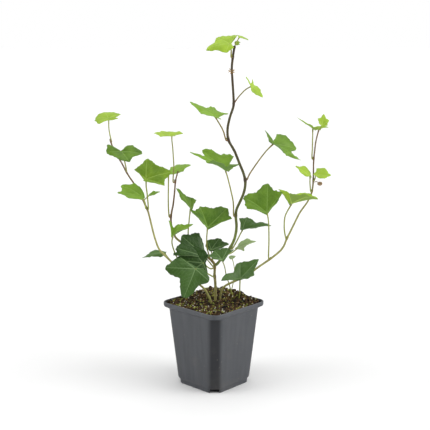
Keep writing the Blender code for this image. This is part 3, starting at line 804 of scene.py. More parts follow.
    def wear(self, rows: list, count: int) -> dict:
        """How rubbed each point is, and how much painted shade it gets on a cut corner.

        Args:
            rows: the section's rings.
            count: the points in each ring.

        Returns:
            The edge and facet attributes.
        """
        corner = 2 * self.corner_steps
        middle = (self.corner_steps - 1) / 2
        edge, facet = [], []
        for _, z, rub in rows:
            below_rim = z < self.height - self.rim_depth - 1
            for i in range(count):
                k = i % (corner + len(self.flats))
                on_edge = k < corner and abs(k % self.corner_steps - middle) < 1
                edge.append(max(rub, 0.3 if on_edge else 0.0))
                # the middle of each cut corner below the rim gets painted shade, strongest at its middle
                turned = min(k, corner - 1 - k) / (self.corner_steps - 1) if k < corner else 0.0
                facet.append(self.facet_shade * turned ** 1.5 if below_rim else 0.0)
        return {"edge": edge, "facet": facet}

    def build(self) -> bpy.types.Object:
        """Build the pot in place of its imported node.

        Returns:
            The finished pot.
        """
        rows = self.profile()
        rings = [self.ring(corner, z) for corner, z, _ in rows]
        count = len(rings[0])
        points = [p for ring in rings for p in ring]
        faces = ring_faces(len(rings), count)
        faces.append(tuple(reversed(range(count))))
        faces.append(tuple(range(len(points) - count, len(points))))
        pot = piece_from("moulded_pot", points, faces, [self.finish.material()], self.wear(rows, count),
                         crease=35)
        self.cut_openings(pot)
        return settle(pot, "pot_plastic", "pot")


# ---- soil ----

@dataclass(frozen=True)
class Crumbs:
    """One sort of crumb on the soil: its finish and number, and its sizes in mm."""

    name: str
    finish: EarthFinish
    per_cm2: float
    smallest: tuple  # half sizes
    largest: tuple
    seed: int
    rough: float = 0.5
    sink: float = 0.2  # a crumb with a negative sink stands up
    detail: int = 1  # subdivisions of the ball that each crumb starts from


@dataclass
class PottingSoil:
    """Peat-based potting soil: a block that fills the pot, with a crumbly, flecked top. Sizes in mm."""

    edge: float = 98.4  # height at the wall
    rise: float = 5.5  # of the mound above it
    mound: tuple = (16.0, 34.0)  # the mound's middle, along the plant's axes
    spread: tuple = (44.0, 22.0)
    bottom: float = 6.5
    wall_gap: float = 0.7
    rim_gap: float = 1.1
    rings: int = 46
    field_rings: int = 24
    field_reach: float = 0.975  # how far out crumbs lie, as a share
    around: int = 168
    base: EarthFinish = EarthFinish("peat", "#0d0905", "#332415", 1.1)
    sorts: tuple = (
        Crumbs("soil_clods", EarthFinish("clods", "#0a0704", "#46331f", 1.2), 3.0,
               (1.5, 1.3, 1.2), (4.0, 3.2, 2.6), 3, 1.7, 0.2, 2),
        Crumbs("soil_crumbs", EarthFinish("crumbs", "#100a05", "#8c7247", 0.8), 26.0,
               (0.5, 0.5, 0.4), (1.7, 1.4, 1.2), 5, 0.7),
        Crumbs("soil_fibres", EarthFinish("fibres", "#2c1c10", "#97754c", 0.6), 9.0,
               (0.2, 0.2, 1.6), (0.38, 0.38, 4.4), 8, 0.2, -0.4),
        Crumbs("soil_moss_flecks", EarthFinish("moss", "#4b4f18", "#adb35a", 0.7), 6.0,
               (0.5, 0.4, 0.35), (1.7, 1.3, 1.1), 12, 0.6, -0.7),
        Crumbs("soil_pale_grains", EarthFinish("perlite", "#a59d86", "#f1eee2", 0.6, 0.9), 1.8,
               (0.4, 0.35, 0.3), (1.5, 1.2, 0.9), 21, 0.5, -0.8),
    )

    def height(self, x: float, y: float, share: float) -> float:
        """Height of the surface at a place.

        Args:
            x: the place along the row's X.
            y: the place along the row's Y.
            share: how far out it is, 1 at the pot's wall.

        Returns:
            The height, lumpy but held down close to the wall.
        """
        place = PLANT_TURN.inverted() @ Vector((x, y, 0))
        away = sum(((place[k] - self.mound[k]) / self.spread[k]) ** 2 for k in range(2))
        lumps = 1.5 * noise.noise(Vector((x, y, 3.0)) / 11) + 0.9 * noise.noise(Vector((x, y, 8.0)) / 4.2)
        grit = 0.5 * noise.noise(Vector((x, y, 1.0)) / 1.9)
        hold = min(1.0, (1 - share) * 9)
        return self.edge + self.rise * math.exp(-away) + (lumps + grit) * (0.4 + 0.6 * hold)

    def outline(self, pot: NurseryPot) -> list:
        """The soil's outline against the pot's rim, in even steps.

        Args:
            pot: the pot that the soil fills.

        Returns:
            The outline's points, anticlockwise.
        """
        corner = pot.round_corner(pot.rim_half - pot.rim_lip - self.rim_gap)
        square = [Matrix.Rotation(q * math.pi / 2, 2) @ p for q in range(4) for p in corner]
        closed = square + square[:1]
        lengths = [(b - a).length for a, b in zip(closed, closed[1:])]
        step = sum(lengths) / self.around
        points = []
        for k in range(self.around):
            left = k * step
            for a, b, length in zip(closed, closed[1:], lengths):
                if left <= length:
                    points.append(a.lerp(b, left / length))
                    break
                left -= length
        return points

    def top(self, outline: list, rings: int, reach: float) -> list:
        """The lumpy top.

        Args:
            outline: the soil's outline.
            rings: the number of rings in it.
            reach: how far out the first ring lies, as a share.

        Returns:
            Its points, ring by ring inwards and the middle last.
        """
        points = []
        for k in range(rings):
            share = reach * (1 - k / rings)
            points += [(p.x * share, p.y * share, self.height(p.x * share, p.y * share, share))
                       for p in outline]
        return [*points, (0, 0, self.height(0, 0, 0))]

    def block(self, pot: NurseryPot) -> bpy.types.Object:
        """The closed block of soil with its lumpy top.

        Args:
            pot: the pot that the soil fills.

        Returns:
            The block.
        """
        outline = self.outline(pot)
        wall_top = pot.height - pot.rim_depth - 3.2
        inset = pot.rim_half - pot.rim_lip - self.rim_gap
        sides = [(half - pot.wall - self.wall_gap, z) for half, z in (
            (pot.foot_half, self.bottom), (pot.wall_foot_half, 12.0), (pot.wall_half(wall_top), wall_top))]
        sides.append((inset - 0.4, wall_top + 4.4))
        points = []
        for half, z in sides:
            squeeze = half / inset
            limit = half - pot.chamfer - 0.6 if z < wall_top + 1 else half
            for p in outline:
                x, y = p * squeeze
                over = abs(x) + abs(y) - (half + limit)
                if over > 0:
                    x -= math.copysign(over / 2, x)
                    y -= math.copysign(over / 2, y)
                points.append((x, y, z))
        points += self.top(outline, self.rings, 1.0)
        faces = self.top_faces(len(sides) + self.rings)
        faces.append(tuple(reversed(range(self.around))))
        tone = [0.35 + 0.5 * noise.noise(Vector(p) / 5) for p in points]
        return piece_from("potting_soil_block", points, faces, [self.base.material()], {"tone": tone},
                          crease=180)

    def top_faces(self, rings: int) -> list:
        """Faces of rings that end in one middle point.

        Args:
            rings: the number of rings.

        Returns:
            The faces between the rings and those round the middle.
        """
        inner = (rings - 1) * self.around
        middle = rings * self.around
        closing = [(inner + i, inner + (i + 1) % self.around, middle) for i in range(self.around)]
        return ring_faces(rings, self.around) + closing

    def crumb_tree(self) -> bpy.types.NodeTree:
        """A tree that scatters irregular crumbs over a surface.

        Returns:
            The tree.
        """
        tree, given, end = named_tree("scatter_crumbs", {
            "Density": "Float", "Smallest": "Vector", "Largest": "Vector", "Roughness": "Float",
            "Sink": "Float", "Seed": "Int", "Detail": "Int", "Surface": "Material"})
        spots = add_node(tree, "GeometryNodeDistributePointsOnFaces",
                         {"Mesh": given["Geometry"], "Density": given["Density"], "Seed": given["Seed"]})
        ball = add_node(tree, "GeometryNodeMeshIcoSphere", {"Radius": 1.0, "Subdivisions": given["Detail"]})
        size = add_node(tree, "FunctionNodeRandomValue", {0: given["Smallest"], 1: given["Largest"],
                                                          "Seed": given["Seed"]}, data_type="FLOAT_VECTOR")
        turn = add_node(tree, "FunctionNodeRandomValue", {1: (math.tau,) * 3, "Seed": given["Seed"]},
                        data_type="FLOAT_VECTOR")
        placed = add_node(tree, "GeometryNodeInstanceOnPoints",
                          {"Points": spots.outputs["Points"], "Instance": ball.outputs["Mesh"],
                           "Rotation": turn.outputs[0], "Scale": size.outputs[0]})
        shade = add_node(tree, "FunctionNodeRandomValue", {"Seed": given["Seed"]}, data_type="FLOAT")
        kept = add_node(tree, "GeometryNodeStoreNamedAttribute",
                        {"Geometry": placed.outputs[0], "Name": "tone", "Value": shade.outputs[1]},
                        data_type="FLOAT", domain="INSTANCE")
        real = add_node(tree, "GeometryNodeRealizeInstances", {"Geometry": kept.outputs[0]})
        lumps = add_node(tree, "ShaderNodeTexNoise", {"Scale": 1 / (1.4 * MM), "Detail": 1.0})
        centred = add_node(tree, "ShaderNodeVectorMath", {0: lumps.outputs["Color"], 1: (0.5, 0.5, 0.5)},
                           operation="SUBTRACT")
        shove = add_node(tree, "ShaderNodeVectorMath", {0: centred.outputs[0], "Scale": given["Roughness"]},
                         operation="SCALE")
        sunk = add_node(tree, "ShaderNodeCombineXYZ", {"Z": given["Sink"]})
        total = add_node(tree, "ShaderNodeVectorMath", {0: shove.outputs[0], 1: sunk.outputs[0]},
                         operation="SUBTRACT")
        moved = add_node(tree, "GeometryNodeSetPosition",
                         {"Geometry": real.outputs[0], "Offset": total.outputs[0]})
        dressed = add_node(tree, "GeometryNodeSetMaterial", {"Geometry": moved.outputs[0],
                                                             "Material": given["Surface"]})
        tree.links.new(dressed.outputs[0], end.inputs[0])
        return tree

    def scatter_field(self, pot: NurseryPot) -> bpy.types.Object:
        """The part of the soil's top that crumbs lie on, as an open surface."""
        points = self.top(self.outline(pot), self.field_rings, self.field_reach)
        return piece_from("scatter_field", points, self.top_faces(self.field_rings), [])

    def build(self, pot: NurseryPot) -> None:
        """Build the block and the crumbs on it, in place of the packed soil.

        Args:
            pot: the pot that the soil fills.
        """
        settle(self.block(pot), "soil", "potting_soil")
        carrier = self.scatter_field(pot)
        tree = self.crumb_tree()
        for sort in self.sorts:
            crumbs = grow(tree, carrier, sort.name, {
                "Density": sort.per_cm2 * CM2_IN_M2, "Smallest": [s * MM for s in sort.smallest],
                "Largest": [s * MM for s in sort.largest], "Roughness": sort.rough * MM,
                "Sink": sort.sink * MM, "Seed": sort.seed, "Detail": sort.detail,
                "Surface": sort.finish.material()})
            settle(crumbs, "soil")
        bpy.data.objects.remove(carrier, do_unlink=True)


# ---- shoots ----

@dataclass
class Shoot:
    """A stem: its radius at the root and at the tip, and how brown it is along its height. Sizes in mm."""

    node: str
    piece: str
    radii: tuple
    browning: tuple  # (share of the height, how brown) pairs
    finish: BarkFinish
    root_on: str = ""  # the shoot that this one forks from
    joints: list = field(default_factory=list)  # where leaf stalks meet it, filled in by the leaves
    sides: int = 14

    end = 2.5  # the closed ends of the solid stem aren't whole sections
    section_spacing = 4
    fork_depth = 3
    swelling_reach = 2.6  # along the stem from a leaf stalk
    swelling = 0.22
    unevenness = 0.06

    def __post_init__(self) -> None:
        """Read the stem's middle line from the frame: its sections at even heights, smoothed."""
        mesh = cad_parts[self.node].data
        mesh.calc_loop_triangles()
        corners = [[mesh.vertices[i].co / MM for i in t.vertices] for t in mesh.loop_triangles]
        low, high = [corner.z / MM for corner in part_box(self.node)]
        rise = high - low - 2 * self.end
        count = int(rise / self.section_spacing) + 1
        line = [self.section(corners, low + self.end + rise * k / count) for k in range(count + 1)]
        line.insert(0, line[0] + (line[0] - line[1]).normalized() * self.end)
        line.append(line[-1] + (line[-1] - line[-2]).normalized() * self.end * 0.9)
        self.line = smooth_curve(line, 3)

    def fork(self, trunk: "Shoot") -> None:
        """Carry the stem's lower end on into the shoot that it forks from.

        Args:
            trunk: that shoot.
        """
        foot = self.line[0]
        back = (self.line[6] - foot).normalized() * self.fork_depth
        inside, _ = nearest_place(foot - back, trunk.line)
        self.line = smooth_curve([inside, foot], 3)[:-1] + self.line

    @staticmethod
    def section(corners: list, z: float) -> Vector:
        """Middle of a rising tube's section.

        Args:
            corners: the corners of each of the tube's triangles.
            z: the section's height.

        Returns:
            The middle of the outline that the triangles leave at that height.
        """
        total, weight = Vector(), 0.0
        for triangle in corners:
            cuts = []
            for a, b in zip(triangle, triangle[1:] + triangle[:1]):
                if (a.z - z) * (b.z - z) < 0:
                    cuts.append(a.lerp(b, (z - a.z) / (b.z - a.z)))
            if len(cuts) == 2:
                length = (cuts[0] - cuts[1]).length
                total += (cuts[0] + cuts[1]) / 2 * length
                weight += length
        return total / weight

    def browned(self, share: float) -> float:
        """How brown the stem is.

        Args:
            share: a share of its height.

        Returns:
            0 for green and 1 for brown, and a little past both.
        """
        for (a, before), (b, after) in zip(self.browning, self.browning[1:]):
            if share <= b:
                return before + (after - before) * (share - a) / (b - a)
        return self.browning[-1][1]

    def build(self) -> None:
        """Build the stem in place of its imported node, swollen where stalks leave it."""
        curve = self.line
        last = len(curve) - 1
        radii, brown = [], []
        for k, spot in enumerate(curve):
            share = k / last
            radius = self.radii[0] + (self.radii[1] - self.radii[0]) * share
            nearest = min(((spot - joint).length for joint in self.joints), default=math.inf)
            swollen = math.exp(-(nearest / self.swelling_reach) ** 2)
            uneven = self.unevenness * noise.noise(spot / 7)
            radii.append(radius * (1 + self.swelling * swollen + uneven))
            brown += [self.browned(share) + 0.3 * swollen] * self.sides
        points, faces = tube(curve, radii, self.sides)
        brown += [brown[0], brown[-1]]
        stem = piece_from(self.piece, points, faces, [self.finish.material()], {"brown": brown}, crease=180)
        settle(stem, "stem_bark", self.node)


# ---- leaves ----

@dataclass
class Leaf:
    """A five-lobed leaf, in mm from the end of its stalk and along the plant's axes.

    The lobes go anticlockwise seen from above: basal right, side right, tip, side left, basal left.
    dips gives how far out the margin stays in the four gaps between them, as a share of the lobes' length.
    """

    node: str
    shoot: str
    lobes: list
    stalk: list
    dips: tuple = (0.9, 0.9, 0.9, 0.9)
    dome: float = 0.10
    point: float = 0.35  # how pointed the side lobes are
    tip: float = 0.60
    heel: float = 0.0  # how far the basal lobes bulge back past the stalk
    notch: float = 0.08  # how far behind the stalk the margin meets
    age: Age = Age.MATURE
    tint: float = 0.5  # 0 is the deep end of its green and 1 the light end
    stalk_brown: float = 0.15
    shift: tuple = ()  # set on a leaf that has no solid of its own: its place from the solid leaf's

    least_notch = 2.6
    spokes = 9  # in each half of a gap between two lobes
    rings = 14
    blade = 0.42  # thickness
    ripple = 0.055  # how much the margin wavers
    cushion = 0.022  # how far the blade rises between its veins
    wave = 0.085  # how far it rises and falls as a whole
    crinkle = 0.036  # how far its rim does
    heel_spokes = 5
    heel_length = 0.55
    heel_bulge = 0.05
    stalk_radius = 0.9
    stalk_sides = 10
    vein_spacing = 4.6
    least_stalk = 1.2  # a stalk's own first point is left out when it lies nearer to the shoot than this

    def __post_init__(self) -> None:
        """Find the end of the stalk in the frame: the corner where most of the blade's faces meet."""
        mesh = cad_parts[self.node].data
        meet = Counter()
        for face in mesh.polygons:
            meet.update(tuple(round(c / MM, 2) for c in mesh.vertices[i].co) for i in face.vertices)
        self.heart = Vector(meet.most_common(1)[0][0])
        if self.shift:
            self.heart += PLANT_TURN @ Vector(self.shift)
        self.seed = sum(ord(letter) * (k + 3) for k, letter in enumerate(self.node)) % 97
        self.veins = [PLANT_TURN @ Vector(lobe) for lobe in self.lobes]
        self.size = self.veins[2].length
        total = Vector()
        for a, b in zip(self.veins, self.veins[1:]):
            total += a.cross(b)
        self.up = total.normalized()

    @staticmethod
    def ease(share: float, point: float) -> float:
        """The margin's way from a rounded dip at 0 to a lobe's end at 1, round or, with point 1, sharp."""
        return point * share ** 1.6 + (1 - point) * share * share * (3 - 2 * share)

    def margin(self) -> list:
        """The margin, anticlockwise from the basal notch.

        Returns:
            For each spoke: its vector to the margin, the number of its nearest vein, and its gap.
        """
        veins = self.veins
        ahead = veins[2].normalized()
        notch = -ahead * max(self.notch * veins[2].length, self.least_notch)
        heels = [self.heel_length * vein - ahead * self.heel * vein.length
                 for vein in (veins[0], veins[4])]
        steps = [k / self.spokes for k in range(self.spokes)]
        heel_steps = [k / self.heel_spokes for k in range(self.heel_spokes)]
        rows = [(notch.lerp(heels[0], t), 0, 0) for t in heel_steps]
        for t in steps:
            bulge = math.sin(math.pi * t) * self.heel_bulge * veins[0].length
            rows.append((heels[0].lerp(veins[0], t) + heels[0].normalized() * bulge, 0, 0))
        for gap, (a, b) in enumerate(zip(veins, veins[1:])):
            dip = a.normalized().slerp(b.normalized(), 0.5) * self.dips[gap] * (a.length + b.length) / 2
            leaving = self.tip if gap == 2 else self.point
            reaching = self.tip if gap == 1 else self.point
            for t in steps:
                length = dip.length + (a.length - dip.length) * self.ease(1 - t, leaving)
                rows.append((a.normalized().slerp(dip.normalized(), t) * length, gap, gap))
            for t in steps:
                length = dip.length + (b.length - dip.length) * self.ease(t, reaching)
                rows.append((dip.normalized().slerp(b.normalized(), t) * length, gap + 1, gap))
        for t in steps:
            bulge = math.sin(math.pi * t) * self.heel_bulge * veins[4].length
            rows.append((veins[4].lerp(heels[1], t) + heels[1].normalized() * bulge, 4, 3))
        rows += [(heels[1].lerp(notch, t), 4, 3) for t in heel_steps]
        ripples = Vector((0, 0, self.seed))
        return [(spoke * (1 + self.ripple * noise.noise(spoke / 2.6 + ripples)), vein, gap)
                for spoke, vein, gap in rows]

    def surface(self, rows: list) -> tuple:
        """The upper side's points, ring by ring from the stalk's end, with what the veins need.

        Args:
            rows: the margin's spokes.

        Returns:
            Rings of points, and the rib, reach and pleat attributes of each point.
        """
        rings, facts = [], []
        for k in range(1, self.rings + 1):
            share = (k / self.rings) ** 0.85
            ring = []
            for spoke, vein, gap in rows:
                reach = spoke.length * share
                cosine = min(1.0, spoke.normalized().dot(self.veins[vein].normalized()))
                rib = reach * math.sqrt(max(0.0, 1 - cosine * cosine))
                along = reach * cosine
                place = self.heart + spoke * share
                ring.append(place + self.up * (self.dome * spoke.length * 2 * share * (1 - share)
                                               + self.relief(place, rib, share)))
                facts.append((rib, share, (along - 0.9 * rib) / self.vein_spacing + 0.5 * (gap % 2)))
            rings.append(ring)
        return rings, facts

    def relief(self, place: Vector, rib: float, share: float) -> float:
        """How far a point of the blade stands off its smooth dome.

        Args:
            place: the point.
            rib: its distance from the nearest main vein.
            share: how far out it is, 1 at the margin.

        Returns:
            The rise of the blade between veins, its wave and its rim's crinkle together.
        """
        cushion = self.cushion * self.size * (1 - math.exp(-(rib / 2.6) ** 2)) * (1 - 0.5 * share)
        broad = noise.noise(place / (0.55 * self.size) + Vector((self.seed, 0, 0)))
        fine = noise.noise(place / 4.2 + Vector((0, self.seed, 0)))
        wave = self.wave * self.size * share ** 1.7 * broad + self.crinkle * self.size * share ** 3 * fine
        return cushion + wave

    def normals(self, rings: list) -> list:
        """The upper side's normals.

        Args:
            rings: its rings of points.

        Returns:
            A normal for each point, ring by ring.
        """
        count = len(rings[0])
        found = []
        inner = [self.heart] * count
        for level, ring in enumerate(rings):
            outer = rings[level + 1] if level + 1 < len(rings) else ring
            row = []
            for i in range(count):
                around = ring[(i + 1) % count] - ring[i - 1]
                row.append((outer[i] - inner[i]).cross(around).normalized())
            found.append(row)
            inner = ring
        return found

    def blade_mesh(self) -> tuple:
        """The blade as one closed skin with a rounded rim.

        Returns:
            Points, faces, and the attributes rib, reach, pleat and under of each point.
        """
        rows = self.margin()
        rings, facts = self.surface(rows)
        count = len(rows)
        normals = self.normals(rings)
        points = [self.heart.copy()]
        values = [(0.0, 0.0, 0.0, 0.0)]
        for ring in rings:
            points += ring
        values += [(*fact, 0.0) for fact in facts]
        edge_normals = normals[-1]
        middle = [p + (p - q).normalized() * 0.12 - n * self.blade * 0.4
                  for p, q, n in zip(rings[-1], rings[-2], edge_normals)]
        points += middle
        values += [(*fact, 0.5) for fact in facts[-count:]]
        for level in reversed(range(self.rings)):
            thick = self.blade * (1.0 if level < self.rings - 1 else 0.8)
            points += [p - n * thick for p, n in zip(rings[level], normals[level])]
            values += [(*fact, 1.0) for fact in facts[level * count:(level + 1) * count]]
        points.append(self.heart - self.up * self.blade)
        values.append((0.0, 0.0, 0.0, 1.0))
        faces = [(0, 1 + i, 1 + (i + 1) % count) for i in range(count)]
        levels = 2 * self.rings
        for level in range(levels):
            a, b = 1 + level * count, 1 + (level + 1) * count
            faces += [(a + i, b + i, b + (i + 1) % count, a + (i + 1) % count) for i in range(count)]
        last = 1 + levels * count
        faces += [(last + i, len(points) - 1, last + (i + 1) % count) for i in range(count)]
        return points, faces, values

    def stalk_curve(self, shoots: dict) -> list:
        """The stalk's middle line, from inside its shoot or the soil up to the blade's underside.

        Args:
            shoots: each shoot by its node's name, and the soil's height under "soil".

        Returns:
            The line's points.
        """
        path = [self.heart + PLANT_TURN @ Vector(p) for p in self.stalk]
        if path[0].z > shoots["soil"]:
            joint, _ = nearest_place(path[0], shoots[self.shoot].line)
            shoots[self.shoot].joints.append(joint)
            if (path[0] - joint).length < self.least_stalk:
                path = path[1:]
            path.insert(0, joint)
        path.append(self.heart - self.up * 0.35)
        return smooth_curve(path, 7)

    def build(self, shoots: dict, blade: bpy.types.Material, stalk: bpy.types.Material) -> None:
        """Build the leaf with its stalk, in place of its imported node.

        Args:
            shoots: each shoot by its node's name, and the soil's height under "soil".
            blade: the material of the blade.
            stalk: the material of the stalk.
        """
        points, faces, values = self.blade_mesh()
        stalk_points, stalk_faces, stalk_browns = self.stalk_mesh(shoots)
        slots = [0] * len(faces) + [1] * len(stalk_faces)
        brown = [0.0] * len(points) + stalk_browns
        faces = appended(faces, stalk_faces, len(points))
        points = [within_box(p) for p in points + stalk_points]
        values += [(0.0, 0.0, 0.0, 0.0)] * len(stalk_points)
        attributes = dict(zip(("rib", "reach", "pleat", "under"), map(list, zip(*values))))
        attributes |= {"brown": brown, "tint": [self.tint] * len(points)}
        name = f"ivy_{self.node}_under" if self.shift else f"ivy_{self.node}"
        made = piece_from(name, points, faces, [blade, stalk], attributes, slots, crease=180)
        settle(made, LEAF_FINISHES[self.age].slot, *([] if self.shift else [self.node]))

    def stalk_mesh(self, shoots: dict) -> tuple:
        """The stalk as a tube, wider where it sheathes its shoot and where it meets the blade.

        Args:
            shoots: each shoot by its node's name, and the soil's height under "soil".

        Returns:
            Points, faces, and how brown each point is.
        """
        curve = self.stalk_curve(shoots)
        slender = self.stalk_radius * min(1.0, 0.55 + self.size / 60)
        radii, brown = [], []
        for share in [k / (len(curve) - 1) for k in range(len(curve))]:
            sheath = 0.35 * math.exp(-(share * 9) ** 2)
            collar = 0.3 * math.exp(-((1 - share) * 12) ** 2)
            radii.append(slender * (1 - 0.15 * share + sheath + collar))
            ends = 0.6 * math.exp(-(share * 6) ** 2) + 0.15 * math.exp(-((1 - share) * 9) ** 2)
            brown += [self.stalk_brown * (1.2 - 0.6 * share) + ends] * self.stalk_sides
        points, faces = tube(curve, radii, self.stalk_sides)
        return points, faces, [*brown, 0.85, 0.2]


